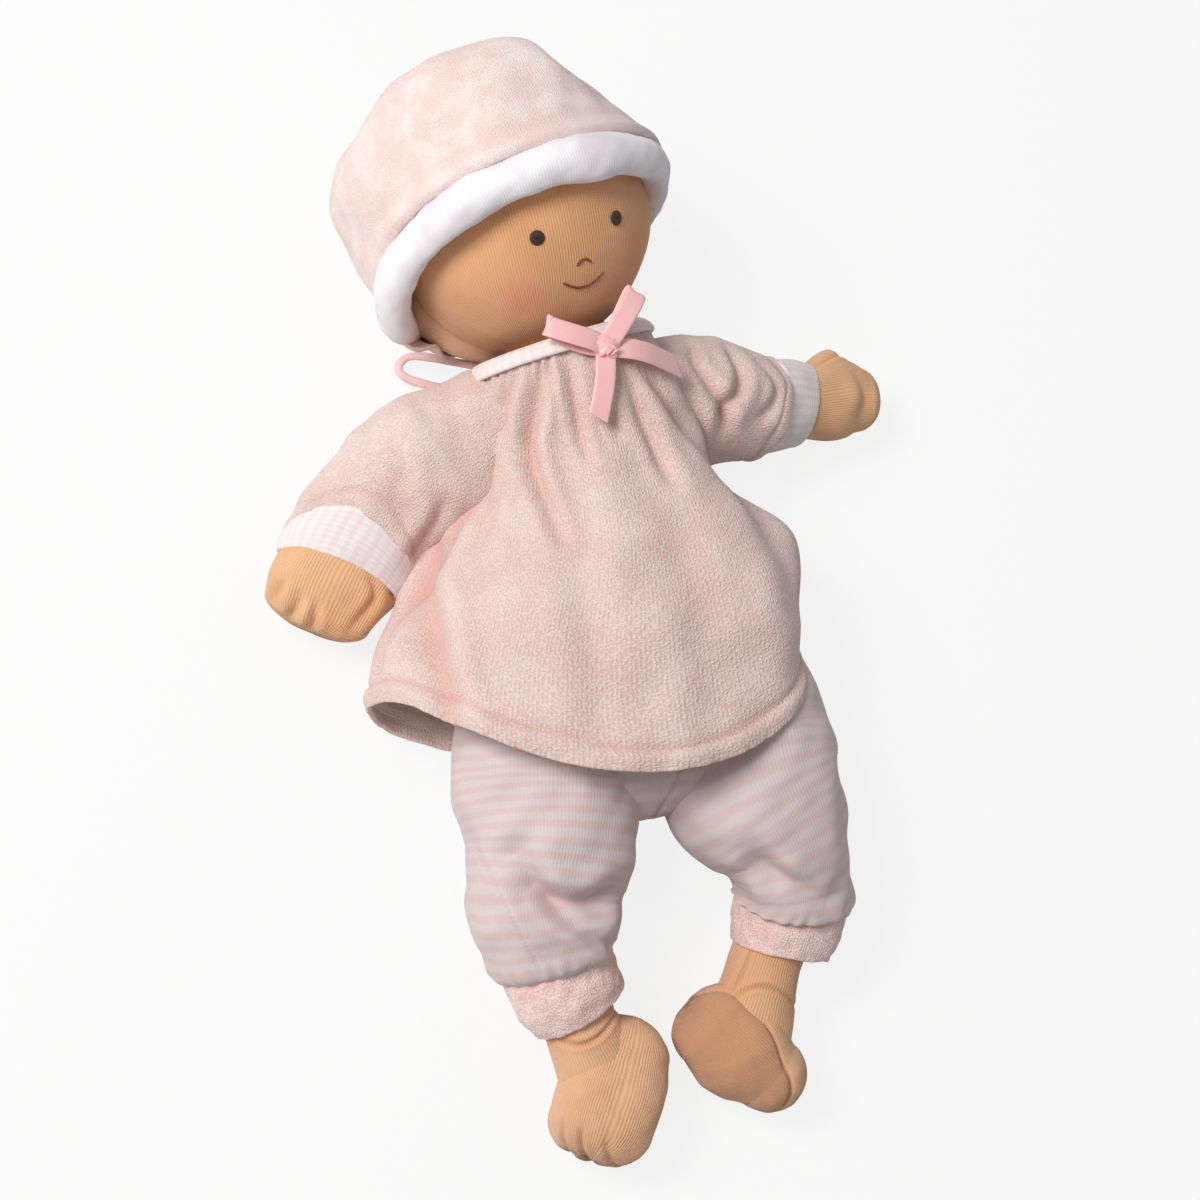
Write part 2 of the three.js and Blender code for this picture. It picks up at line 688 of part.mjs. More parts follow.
function ribbonLoop(from, heading) {
  const half = loopLength / 2;
  const outline = new THREE.Shape().absellipse(half, 0, half, knotSize / 3, 0, 2 * Math.PI);
  const inside = [half - ribbonWall, knotSize / 3 - ribbonWall];
  outline.holes.push(new THREE.Path().absellipse(half, 0, ...inside, 0, 2 * Math.PI));
  const extent = { depth: ribbonWide, bevelEnabled: false, curveSegments: 3 };
  const loop = new THREE.ExtrudeGeometry(outline, extent);
  loop.translate(0, 0, -ribbonWide / 2).rotateX(Math.PI / 2).rotateZ(radians(heading));
  return solid(loop.translate(from.x, from.y, from.z));
}

function makeBow(root, pivot) {
  const front = collar.z + necklineDepth - touch;
  const knotAt = new THREE.Vector3(collar.x + 6.5, collar.y - 4, front + knotSize / 3);
  const knot = new THREE.SphereGeometry(1, 8, 4).scale(knotSize / 2, knotSize / 2, knotSize / 3);
  const tail = (heading, length, drop) => {
    const end = knotAt.clone().addScaledVector(headingOf(heading), length);
    return strip(knotAt, end.setZ(end.z - drop));
  };
  const bow = solid(knot.translate(knotAt.x, knotAt.y, knotAt.z))
    .add(ribbonLoop(knotAt, 159))
    .add(ribbonLoop(knotAt, 49))
    .add(tail(256, tailLength, 3))
    .add(tail(-27, tailLength + 4, 13));
  piece('ribbon_bow', cutBy(bow, smockForm(touch), bindingForm(touch)), ribbon, root, pivot);
}

// One loop of the jersey tie at the nape shows beside the neck
function makeTie(root, pivot) {
  const nape = collar.clone().add(new THREE.Vector3(-9, 0, -necklineDepth + bandWall / 2));
  const tip = new THREE.Vector3(nape.x - 18 - tieReach, nape.y + 11, tieWide + 2);
  const offset = (point, x, y, z) => point.clone().add(new THREE.Vector3(x, y, z));
  const route = new THREE.CatmullRomCurve3([
    offset(nape, 0, 0, -tieWide / 2),
    offset(nape, -14, 5, -6),
    offset(tip, 6, 2, 1),
    tip,
    offset(tip, -1, -5, 0),
    offset(tip, 8, -12, 0),
    offset(nape, -10, -8, -9),
  ]);
  const section = new THREE.Shape().absarc(0, 0, tieWide / 2.6, 0, 2 * Math.PI);
  const strap = new THREE.ExtrudeGeometry(section, { steps: 16, curveSegments: 2, extrudePath: route });
  const clear = solid(strap).subtract(smockForm(touch)).subtract(bindingForm(touch));
  piece('neck_tie_loop', clear, jersey, root, pivot);
}

const root = bodyAt(group, new THREE.Vector3());
const rootPivot = new THREE.Vector3();
makeBody(root, rootPivot);
makeSmock(root, rootPivot);
makeSeat(root, rootPivot);
makeBow(root, rootPivot);
makeTie(root, rootPivot);

const head = bodyAt(root, neckPoint);
makeHead(head, neckPoint);
const hat = bodyAt(head, headCentre, neckPoint);
makeHat(hat, headCentre);

['right', 'left'].forEach((side) => {
  makeArm(side, bodyAt(root, shoulders[side]), shoulders[side]);
  makeLeg(side, bodyAt(root, hips[side]), hips[side]);
});

export default group;
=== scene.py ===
import math
import bpy
import numpy as np
from mathutils import Matrix, Vector


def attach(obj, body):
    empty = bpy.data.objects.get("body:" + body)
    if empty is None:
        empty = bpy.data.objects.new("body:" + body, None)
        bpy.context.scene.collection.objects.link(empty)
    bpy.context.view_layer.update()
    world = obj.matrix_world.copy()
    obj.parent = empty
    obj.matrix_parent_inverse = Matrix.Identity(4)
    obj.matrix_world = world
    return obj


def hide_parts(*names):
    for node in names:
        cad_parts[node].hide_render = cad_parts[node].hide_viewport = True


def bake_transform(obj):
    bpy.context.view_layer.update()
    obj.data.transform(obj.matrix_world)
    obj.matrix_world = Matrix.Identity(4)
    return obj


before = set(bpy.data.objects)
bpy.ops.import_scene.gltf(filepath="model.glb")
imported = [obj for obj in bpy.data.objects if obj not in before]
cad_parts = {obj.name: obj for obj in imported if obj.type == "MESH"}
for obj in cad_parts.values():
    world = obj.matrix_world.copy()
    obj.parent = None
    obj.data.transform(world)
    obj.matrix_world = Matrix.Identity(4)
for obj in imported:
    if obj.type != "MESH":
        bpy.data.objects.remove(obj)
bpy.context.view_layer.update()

# Cloth baby doll lying on its back. Sizes are in millimetres; meshes are written in metres.
# +X is the doll's left, +Y runs towards its head, +Z is its front.

mm = 0.001
tau = 2 * math.pi
upward = np.array([0.0, 0.0, 1.0])


# Numbers and directions

def unit(v):  # each vector divided by its length
    return v / np.maximum(np.linalg.norm(v, axis=-1, keepdims=True), 1e-9)


def ease(x, low, high):  # 0 before low, 1 after high, 3x^2 - 2x^3 between
    x = np.clip((x - low) / (high - low), 0, 1)
    return x * x * (3 - 2 * x)


def bell(x, width):  # exp(-(x / width)^2)
    return np.exp(-(x / width) ** 2)


def soften(x, low, blur):  # keeps x above low, rounding off over blur
    return low + blur * np.logaddexp(0, (x - low) / blur)


def ridges(x, places):  # bells across x, each a height, a place and a width; a height below 0 makes a groove
    return sum(height * bell(x - place, width) for height, place, width in places)


def drift(points, size, seed):  # twelve sine waves of about that length in seeded directions, about -1 to 1
    rng = np.random.default_rng(seed)
    total = 0
    for _ in range(12):
        direction = unit(rng.normal(size=3)) * tau / (size * rng.uniform(0.7, 1.5))
        total = total + np.sin(points @ direction + rng.uniform(0, tau))
    return total / 4


def waves(points, sizes):  # slow unevenness, each a height, a length and a seed
    return sum(height * drift(points, length, seed) for height, length, seed in sizes)


def turned(axis, degrees):
    return np.array(Matrix.Rotation(math.radians(degrees), 3, axis))


def heading(degrees, rise=0):  # direction from its heading in the floor's plane and its rise
    h, r = math.radians(degrees), math.radians(rise)
    return np.array([math.cos(h) * math.cos(r), math.sin(h) * math.cos(r), math.sin(r)])


def turnFrom(b, degrees):  # how far b has turned past so many degrees, the shorter way round
    return (b - np.radians(degrees) + math.pi) % tau - math.pi


def near(b, degrees, width):  # 1 at that turn, fading over a width in radians
    return bell(turnFrom(b, degrees), width)


def circle(cols):
    return np.arange(cols) * tau / cols


def roundAxis(radius, level, b, deep=None):  # points round the y axis, on a circle or an oval, at a level
    deep = radius if deep is None else deep
    return np.stack(np.broadcast_arrays(radius * np.sin(b), level, deep * np.cos(b)), -1)


def follow(stops, t):
    # Catmull-Rom: a cubic through the stops whose slope at each is half the step between its neighbours
    stops = np.asarray(stops, float)
    padded = np.vstack([2 * stops[0] - stops[1], stops, 2 * stops[-1] - stops[-2]])
    i = np.clip(np.floor(t).astype(int), 0, len(stops) - 2)
    f = (t - i)[..., None]
    a, b, c, d = (padded[i + k] for k in range(4))
    square, cube = 2 * a - 5 * b + 4 * c - d, 3 * b - a - 3 * c + d
    place = 0.5 * (2 * b + (c - a) * f + square * f ** 2 + cube * f ** 3)
    slope = 0.5 * ((c - a) + 2 * square * f + 3 * cube * f ** 2)
    return place, slope


def smoothPath(points, count):
    return follow(np.array(points, float), np.linspace(0, len(points) - 1, count))[0]


def sweep(stops, t, turn, size=1.0, shift=0.0, square=2.0, ways=None):
    # Ovals along a spine: centre + wide a cos(turn)^(2/square) + deep b sin(turn)^(2/square).
    # Stops are x y z a b. The ovals stand square to the spine, or to the directions given as ways.
    def squared(x):
        return np.sign(x) * np.abs(x) ** (2 / square)

    place, slope = follow(stops, t)
    forward = unit(slope[..., :3] if ways is None else follow(ways, t)[0])
    deep = unit(upward - forward * forward[..., 2:3])
    wide = np.cross(deep, forward)
    centre = place[..., :3] + forward * np.asarray(shift)[..., None]
    reach = place[..., 3] * size * squared(np.cos(turn))
    rise = place[..., 4] * size * squared(np.sin(turn))
    return centre + wide * reach[..., None] + deep * rise[..., None]


def domed(stops, rows, cols, domes, square=2.0):
    # A closed form: half an oval of height dome at each end of the sweep; returns grid, t and turn
    last = len(stops) - 1
    capRows, firstAngle = max(8, rows // 6), 0.06
    phi = np.linspace(firstAngle, math.pi / 2, capRows, endpoint=False)
    t = np.concatenate([np.zeros(capRows), np.linspace(0, last, rows), np.full(capRows, last)])
    size = np.concatenate([np.sin(phi), np.ones(rows), np.sin(phi)[::-1]])
    shift = np.concatenate([-domes[0] * np.cos(phi), np.zeros(rows), domes[1] * np.cos(phi)[::-1]])
    t, turn = np.broadcast_arrays(t[:, None], circle(cols)[None, :])
    grid = sweep(stops, t, turn, size[:, None] + 0 * t, shift[:, None] + 0 * t, square)
    return grid, t, turn


def openTube(stops, first, last, rows, cols):
    # An open tube between two places on the sweep, which may differ round it; returns grid, t and turn
    turn = np.broadcast_to(circle(cols)[None, :], (rows, cols))
    t = first + (np.asarray(last) - first) * np.linspace(0, 1, rows)[:, None] + 0 * turn
    return sweep(stops, t, turn), t, turn


def normalsOf(grid):
    # Cross product of the steps around and along, pointing away from each row's middle
    around = np.roll(grid, -1, 1) - np.roll(grid, 1, 1)
    out = unit(np.cross(around, np.gradient(grid, axis=0)))
    if np.sum(out * (grid - grid.mean(1, keepdims=True))) < 0:
        out = -out
    return out


def raised(grid, height):  # the surface moved out along its normals by height
    return grid + normalsOf(grid) * np.asarray(height)[..., None]


def onFloor(grid, low, blur=1.0):  # pressed flat where it would sink below low
    grid[..., 2] = soften(grid[..., 2], low, blur)
    return grid


def drawn(grid, lines):
    # Creases drawn as lines seen from the front, on cloth that faces up; each has points x y, depth, width
    # and share of painted shade. It is a groove exp(-(d / width)^2) of the distance d from its line, between
    # two low lips, and it fades towards both ends of the line.
    steps = 50
    up = ease(normalsOf(grid)[..., 2], 0.02, 0.4)
    height, creaseShade = np.zeros(up.shape), np.zeros(up.shape)
    fading = np.sin(np.linspace(0.12, math.pi - 0.12, steps)) ** 0.6
    for points, depth, width, shadeShare in lines:
        away, share = np.full(up.shape, 1e3), np.zeros(up.shape)
        for spot, here in zip(smoothPath(points, steps), fading):
            distance = np.hypot(grid[..., 0] - spot[0], grid[..., 1] - spot[1])
            away, share = np.minimum(away, distance), np.where(distance < away, here, share)
        groove = bell(away, width) * up * share
        lip = bell(away - 2.1 * width, 1.1 * width) * up * share
        height += depth * (0.4 * lip - groove)
        # painted shade: the groove's colour darkened, more where the groove is deeper
        creaseShade += shadeShare * groove ** 1.5
    return height, creaseShade


def lengths(grid):  # distance along each column, averaged over the columns
    steps = np.linalg.norm(np.diff(grid, axis=0), axis=-1).mean(1)
    return np.concatenate([[0], np.cumsum(steps)])


def girths(grid):  # distance round each row
    return np.linalg.norm(np.diff(grid, axis=1), axis=-1).sum(1)


def shelled(outer, wall, lip=7):
    # A cloth tube with a wall: outside, half round edge, inside, half round edge.
    # Returns the grid and, for each of its rows, the outside's row that it belongs to.
    out = normalsOf(outer)
    wall = np.broadcast_to(np.asarray(wall, float), outer.shape[:1])[:, None, None]
    middle = outer - out * wall / 2
    angle = (np.arange(lip) + 1)[:, None, None] * math.pi / (lip + 1)
    ends = []
    for row, inward in ((-1, -2), (0, 1)):
        away = unit(middle[row] - middle[inward])
        ends.append(middle[row] + wall[row] / 2 * (np.cos(angle) * out[row] + np.sin(angle) * away))
    rows = np.arange(len(outer))
    grid = np.concatenate([outer, ends[0], (middle - out * wall / 2)[::-1], ends[1][::-1]])
    return grid, np.concatenate([rows, np.full(lip, rows[-1]), rows[::-1], np.zeros(lip, int)])


# Meshes

def makeMesh(name, grid, across, along, ring=False, marks=None):
    # Quads between neighbouring rows and columns; ring joins the last row to the first, or else a fan closes
    # each end. The cloth's own millimetres, across and along, are kept as its UV map, marks as attributes.
    rows, cols = grid.shape[:2]
    across, along = (np.broadcast_to(values, (rows, cols)) for values in (across, along))
    r = np.arange(rows if ring else rows - 1)[:, None]
    c = np.arange(cols)[None, :]
    corners = [(r, c), (r, c + 1), (r + 1, c + 1), (r + 1, c)]
    quads = np.stack([(i % rows) * cols + j % cols + 0 * (r + c) for i, j in corners], -1).reshape(-1, 4)
    around = np.concatenate([across, 2 * across[:, -1:] - across[:, -2:-1]], 1)
    far = np.concatenate([along, along[:, :1]], 1)
    if ring:
        around, far = np.vstack([around, around[:1]]), np.vstack([far, far[:1]])
    uvs = [np.stack([around[i, j], far[i, j]], -1) for i, j in [(a + 0 * b, b + 0 * a) for a, b in corners]]
    uvs = [np.stack(uvs, 2).reshape(-1, 2)]
    points, j = grid.reshape(-1, 3), np.arange(cols)
    fans = []
    for row, order in () if ring else ((0, (1, 0)), (rows - 1, (0, 1))):
        fans.append(np.stack([np.full(cols, len(points))] + [row * cols + (j + k) % cols for k in order], -1))
        points = np.vstack([points, grid[row].mean(0)])
        ends = [np.stack([around[row, j + k], far[row, j + k]], -1) for k in order]
        uvs.append(np.stack([(ends[0] + ends[1]) / 2, *ends], 1).reshape(-1, 2))
    loops = np.concatenate([quads.ravel()] + [fan.ravel() for fan in fans])
    fanStarts = len(quads) * 4 + np.arange(cols * len(fans)) * 3
    starts = np.concatenate([np.arange(len(quads)) * 4, fanStarts])
    mesh = bpy.data.meshes.new(name)
    mesh.vertices.add(len(points))
    mesh.vertices.foreach_set("co", (points * mm).astype(np.float32).ravel())
    mesh.loops.add(len(loops))
    mesh.loops.foreach_set("vertex_index", loops.astype(np.int32))
    mesh.polygons.add(len(starts))
    mesh.polygons.foreach_set("loop_start", starts.astype(np.int32))
    mesh.uv_layers.new(name="cloth").data.foreach_set("uv", np.concatenate(uvs).astype(np.float32).ravel())
    for key, values in (marks or {}).items():
        values = np.broadcast_to(values, (rows, cols)).ravel()
        values = np.concatenate([values, np.full(len(points) - len(values), values[-1])])
        mesh.attributes.new(key, "FLOAT", "POINT").data.foreach_set("value", values.astype(np.float32))
    mesh.update(calc_edges=True)
    mesh.polygons.foreach_set("use_smooth", np.ones(len(mesh.polygons), bool))
    return facingOut(mesh)


def facingOut(mesh):  # turned over where the volume it encloses, a sum of a . (b x c) / 6, comes out negative
    points = np.empty(len(mesh.vertices) * 3)
    mesh.vertices.foreach_get("co", points)
    mesh.calc_loop_triangles()
    corners = np.empty(len(mesh.loop_triangles) * 3, np.int32)
    mesh.loop_triangles.foreach_get("vertices", corners)
    a, b, c = points.reshape(-1, 3)[corners.reshape(-1, 3).T]
    if np.sum(a * np.cross(b, c)) < 0:
        mesh.flip_normals()
    return mesh


def addPiece(name, mesh, material, stands=()):
    piece = bpy.data.objects.new(name, mesh)
    bpy.context.scene.collection.objects.link(piece)
    mesh.materials.append(material)
    if stands:
        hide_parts(*stands)
    return piece


def stuffed(name, grid, material, stands, marks, girth=None):
    # A closed padded form from a grid; the cloth runs girth millimetres around it
    girth, cols = girth or girths(grid).max(), grid.shape[1]
    mesh = makeMesh(name, grid, np.arange(cols) * girth / cols, lengths(grid)[:, None], marks=marks)
    piece = addPiece(name, mesh, material, stands)
    return piece


def garment(name, outer, wall, material, stands, marks):
    # A cloth tube with a wall from a grid of its outside
    grid, rows = shelled(outer, wall)
    girth, cols = girths(outer).mean(), grid.shape[1]
    edge = 4
    inside = np.zeros((len(rows), 1))
    inside[len(outer) + edge:-edge] = 1
    marks = {key: np.broadcast_to(values, outer.shape[:2])[rows] for key, values in marks.items()}
    # the inside mark is where the velour paints light on the cloth's inner face
    marks["inside"] = inside
    across, along = np.arange(cols) * girth / cols, lengths(outer)[rows][:, None]
    return addPiece(name, makeMesh(name, grid, across, along, ring=True, marks=marks), material, stands)


# Shader maths

class Wire:
    # A socket that can be reckoned with; each operator adds a Math node
    def __init__(self, nodes, socket):
        self.nodes, self.socket = nodes, socket

    def reckon(self, operation, *values):
        return self.nodes.add("ShaderNodeMath", {"operation": operation}, dict(enumerate(values)))

    def __add__(self, other):
        return self.reckon("ADD", self, other)

    def __sub__(self, other):
        return self.reckon("SUBTRACT", self, other)

    def __rsub__(self, other):
        return self.reckon("SUBTRACT", other, self)

    def __mul__(self, other):
        return self.reckon("MULTIPLY", self, other)

    __radd__, __rmul__ = __add__, __mul__

    def wave(self, period):  # 0 to 1 and back in each period
        return self.reckon("SINE", self * (tau / period)) * 0.5 + 0.5

    def above(self, low, high):  # 0 to 1 as this goes from low to high
        values = {"Value": self, "From Min": low, "From Max": high}
        return self.nodes.add("ShaderNodeMapRange", {"interpolation_type": "SMOOTHSTEP"}, values)

    def capped(self):
        return self.reckon("MINIMUM", self.reckon("MAXIMUM", self, 0.0), 1.0)


class Nodes:
    # A node tree, with one method that adds every node
    def __init__(self, tree):
        self.tree = tree

    def plug(self, value, socket):
        if isinstance(value, Wire):
            self.tree.links.new(value.socket, socket)
        else:
            socket.default_value = value

    def add(self, kind, settings=None, values=None, out=0):
        node = self.tree.nodes.new(kind)
        for key, value in (settings or {}).items():
            setattr(node, key, value)
        for key, value in (values or {}).items():
            self.plug(value, node.inputs[key])
        return Wire(self, node.outputs[out])


class Finish(Nodes):
    # A material with one Principled shader
    def __init__(self, name, roughness, sheen=0.0, sheenRoughness=0.5, specular=0.3):
        self.material = bpy.data.materials.new(name)
        self.material.use_nodes = True
        super().__init__(self.material.node_tree)
        self.shader = self.tree.nodes["Principled BSDF"]
        levels = {"Roughness": roughness, "Sheen Weight": sheen, "Sheen Roughness": sheenRoughness,
                  "Specular IOR Level": specular}
        for key, value in levels.items():
            self.plug(value, self.shader.inputs[key])

    def cloth(self):  # the piece's own UV map, in millimetres of cloth: across, along
        place = self.add("ShaderNodeUVMap", {"uv_map": "cloth"})
        split = self.tree.nodes.new("ShaderNodeSeparateXYZ")
        self.plug(place, split.inputs[0])
        return place, Wire(self, split.outputs[0]), Wire(self, split.outputs[1])

    def mark(self, name):
        return self.add("ShaderNodeAttribute", {"attribute_name": name}, out=2)

    def noise(self, vector, scale, detail=3.0, rough=0.55):
        values = {"Vector": vector, "Scale": scale, "Detail": detail, "Roughness": rough}
        return self.add("ShaderNodeTexNoise", None, values)

    def space(self, scale):  # Object coordinates in millimetres, over scale
        place = self.add("ShaderNodeTexCoord", out=3)
        return self.add("ShaderNodeVectorMath", {"operation": "SCALE"}, {0: place, "Scale": 1000.0 / scale})

    def patches(self, size):  # 0 to 1 in slow patches of about that size
        return self.noise(self.space(size), 1.0, 2.0).above(0.35, 0.65)

    def mix(self, share, first, second):
        return self.add("ShaderNodeMix", {"data_type": "RGBA"}, {0: share, 6: first, 7: second}, out=2)

    def paint(self, colour, height, depth):
        self.plug(colour, self.shader.inputs["Base Color"])
        values = {"Height": height, "Distance": depth * mm, "Strength": 1.0}
        self.plug(self.add("ShaderNodeBump", None, values), self.shader.inputs["Normal"])
        return self.material


def tone(red, green, blue):  # a colour as a screen shows it, 0 to 255, turned to light
    linear = [((c / 255 + 0.055) / 1.055) ** 2.4 for c in (red, green, blue)]
    return (*linear, 1.0)


def knitFinish(name, light, dark, rib, stitch, groove, blushAndSoleShade=None):
    # Rib knit: broken ridges across the cloth, crossed by short stitches, with a slow change of colour.
    # The groove colour is painted shade in the knit's low parts, along seams and in creases.
    f = Finish(name, 0.9, sheen=0.25, sheenRoughness=0.6, specular=0.12)
    place, across, along = f.cloth()
    wobble = f.noise(place, 0.3, 2.0) * 0.5
    ridge = (across + wobble).wave(rib)
    loops = (along + ridge * (stitch * 0.5) + wobble).wave(stitch)
    broken = f.noise(place, 1.1, 3.0, 0.6)
    fuzz = f.noise(f.space(1.0), 2.2, 3.0, 0.65)
    height = ridge * (0.3 + broken * 0.7) + loops * ridge * 0.3 + fuzz * 0.5
    colour = f.mix(f.patches(24.0), light, dark)
    # painted shade: the low parts of the knit darkened towards the groove colour
    colour = f.mix((1.15 - height).above(0.1, 0.9) * 0.26, colour, groove)
    # real blush on the face; on the soles this colour is painted shade
    if blushAndSoleShade:
        colour = f.mix(f.mark("blushAndSoleShade"), colour, blushAndSoleShade)
    # painted shade along sewn seams and in the creases of tucks and toes
    colour = f.mix(f.mark("seam"), colour, groove)
    return f.paint(colour, height, 0.2)


def velourFinish(name, tips, base, shade, row, pile=1.0, crush=18.0, brushed=0.5):
    # Terry: small tufts in faint rows over a warmer ground, crushed in patches. The tufts' tops are paler
    # with painted highlight, the gaps between them and the folds warmer with painted shade, the inner face
    # paler with painted light.
    f = Finish(name, 0.96, sheen=0.3, sheenRoughness=0.5, specular=0.08)
    place, across, _ = f.cloth()
    nap = f.noise(place, 0.7 / pile, 3.0, 0.6)
    spots = {"Vector": place, "Scale": 1.3 / pile, "Randomness": 0.85}
    tufts = (1 - f.add("ShaderNodeTexVoronoi", {"feature": "F1"}, spots) * 1.4).capped()
    rows = (across + nap * (row * 1.2)).wave(row)
    fine = f.noise(f.space(1.0), 2.2 / pile, 3.0, 0.7)
    height = tufts * 0.7 + rows * 0.2 + fine * 0.45
    crushed = f.noise(f.space(crush), 1.0, 4.0, 0.6).above(0.4, 0.66)
    # painted highlight: the tufts' tops paler towards the tips colour
    colour = f.mix(height.above(0.4, 1.05), base, tips)
    colour = f.mix(crushed * brushed, colour, tips)
    # painted shade: the low gaps between tufts darkened
    colour = f.mix(height.above(0.6, 0.25) * 0.4, colour, shade)
    # painted shade in folds, creases and gather hollows
    colour = f.mix(f.mark("fold"), colour, shade)
    # painted light: the cloth's inner face made paler, as if lit
    colour = f.mix(f.mark("inside") * 0.9, colour, tone(255, 228, 221))
    return f.paint(colour, height, 0.42 * pile)


def stripedFinish(name, pale, pink, pitch, way):
    # Striped jersey: blurred heathered bands across or along the cloth, over fine wales. Darker in the low
    # parts, partly the heathered tone and partly painted shade, with painted shade in folds and along seams.
    f = Finish(name, 0.92, sheen=0.15, specular=0.12)
    place, across, along = f.cloth()
    run, cross = (along, across) if way == "along" else (across, along)
    heather = f.noise(place, 1.0, 4.0, 0.75)
    band = (run + heather * 0.9 + f.noise(place, 0.12, 2.0) * 2.0).wave(pitch).above(0.25, 0.8)
    height = cross.wave(1.1) * 0.25 + heather * 0.75
    colour = f.mix(band * 0.5, pale, pink)
    # darker in the cloth's low parts: partly its heathered tone, partly painted shade between the wales
    colour = f.mix((1.1 - height).above(0.2, 0.9) * 0.3, colour, tone(206, 180, 178))
    # painted shade in folds
    colour = f.mix(f.mark("fold"), colour, pink)
    # painted shade along seams
    colour = f.mix(f.mark("seam") * 0.6, colour, tone(188, 158, 156))
    return f.paint(colour, height, 0.2)


def jerseyFinish(name, pale, shade):
    # Plain jersey: fine wales crossed by a faint loop pattern, with painted shade in their low parts
    f = Finish(name, 0.9, sheen=0.2, specular=0.15)
    place, across, _ = f.cloth()
    height = across.wave(0.8) * 0.4 + f.noise(place, 1.6, 3.0, 0.65) * 0.7
    colour = f.mix(f.patches(16.0), pale, shade)
    # painted shade: the low parts of the wales and loops darkened
    colour = f.mix((1 - height).above(0.3, 0.9) * 0.35, colour, shade)
    return f.paint(colour, height, 0.14)


def satinFinish(name, bright, deep, woven):
    # Satin: fine threads along the ribbon, a paler woven edge with small loops
    f = Finish(name, 0.34, sheen=0.1, specular=0.5)
    place, _, along = f.cloth()
    stretched = f.add("ShaderNodeVectorMath", {"operation": "MULTIPLY"}, {0: place, 1: (9.0, 0.35, 1.0)})
    threads = f.noise(stretched, 1.0, 2.0, 0.5)
    edge, picots = f.mark("edge"), along.wave(0.55)
    colour = f.mix(threads.above(0.3, 0.7) * 0.5, bright, deep)
    colour = f.mix(edge * (0.35 + picots * 0.5), colour, woven)
    return f.paint(colour, threads * 0.4 + edge * picots * 0.8, 0.08)


def threadFinish(name, dark, light, pitch):
    # Embroidery thread: twisted strands that catch the light in turn
    f = Finish(name, 0.55, specular=0.35)
    place, across, along = f.cloth()
    twist = (along + across * 1.2).wave(pitch)
    colour = f.mix(twist * 0.6 + f.noise(place, 2.0) * 0.3, dark, light)
    return f.paint(colour, twist, 0.12)


finishes = {
    "face": knitFinish("face_knit", tone(241, 183, 133), tone(231, 171, 121), 1.0, 1.2, tone(186, 122, 78),
                       blushAndSoleShade=tone(236, 140, 112)),
    "napeCloth": knitFinish("nape_knit", tone(250, 204, 162), tone(242, 194, 151), 0.9, 1.0,
                            tone(190, 130, 90)),
    "skin": knitFinish("hand_knit", tone(240, 190, 146), tone(232, 180, 134), 1.0, 1.0, tone(206, 146, 102)),
    # the sole's second colour is painted shade, for soles lying in shade
    "sole": knitFinish("sole_knit", tone(243, 192, 151), tone(234, 180, 138), 0.95, 1.0, tone(190, 128, 92),
                       blushAndSoleShade=tone(206, 150, 112)),
    "smock": velourFinish("smock_velour", tone(243, 228, 222), tone(229, 203, 196), tone(224, 172, 162),
                          1.05),
    "hat": velourFinish("hat_velour", tone(249, 240, 236), tone(242, 217, 211), tone(239, 197, 189), 1.0,
                        pile=0.7, crush=11.0, brushed=0.85),
    "band": velourFinish("cuff_velour", tone(255, 236, 232), tone(250, 214, 208), tone(230, 174, 168), 1.0),
    "trouser": stripedFinish("trouser_stripe", tone(222, 210, 209), tone(220, 186, 183), 4.2, "along"),
    "cuff": stripedFinish("cuff_stripe", tone(246, 242, 242), tone(244, 218, 218), 3.4, "across"),
    "brim": jerseyFinish("brim_jersey", tone(248, 245, 249), tone(232, 225, 233)),
    "tie": jerseyFinish("tie_jersey", tone(250, 220, 218), tone(240, 198, 198)),
    "ribbon": satinFinish("satin_ribbon", tone(251, 198, 199), tone(238, 170, 172), tone(252, 205, 208)),
    "eye": threadFinish("brown_thread", tone(38, 24, 17), tone(80, 58, 46), 0.9),
    "lips": threadFinish("russet_thread", tone(112, 52, 40), tone(150, 82, 66), 1.1),
}

# Camera and light

viewSet = {"distance": 900.0, "target": (-7.0, 0.0, 40.0), "pixel": 0.335, "image": 1200,
           "yaw": 20.0, "pitch": 8.0, "roll": 11.2, "sensor": 36.0}


def makeCamera(s):
    yaw, pitch, roll = (math.radians(s[key]) for key in ("yaw", "pitch", "roll"))
    back = np.array([-math.sin(yaw) * math.cos(pitch), -math.sin(pitch), math.cos(yaw) * math.cos(pitch)])
    top = unit(np.array([0.0, 1.0, 0.0]) - back[1] * back)
    side = np.cross(top, back)
    topRolled = math.cos(roll) * top + math.sin(roll) * side
    sideRolled = math.cos(roll) * side - math.sin(roll) * top
    camera = bpy.data.objects.new("camera", bpy.data.cameras.new("camera"))
    bpy.context.scene.collection.objects.link(camera)
    camera.data.sensor_width = s["sensor"]
    camera.data.lens = s["sensor"] * s["distance"] / (s["pixel"] * s["image"])
    camera.data.clip_start, camera.data.clip_end = 0.01, 20.0
    place = (np.array(s["target"]) + back * s["distance"]) * mm
    turn = Matrix(np.stack([sideRolled, topRolled, back], 1).tolist())
    camera.matrix_world = Matrix.Translation(Vector(place)) @ turn.to_4x4()
    bpy.context.scene.camera = camera


# In metres and watts; each lamp is a disk, with its place, size, power and colour
stageSet = {"ambient": 0.30, "aim": (0, 0, 0.03), "floorHalf": 3.0, "floorTone": 0.86, "floorGlow": 0.84,
            "lamps": {"key": ((-0.95, 0.42, 1.2), 0.65, 19.5, (1.0, 0.985, 0.965)),
                      "fill": ((0.9, 0.2, 1.0), 0.9, 0.5, (0.97, 0.98, 1.0))}}


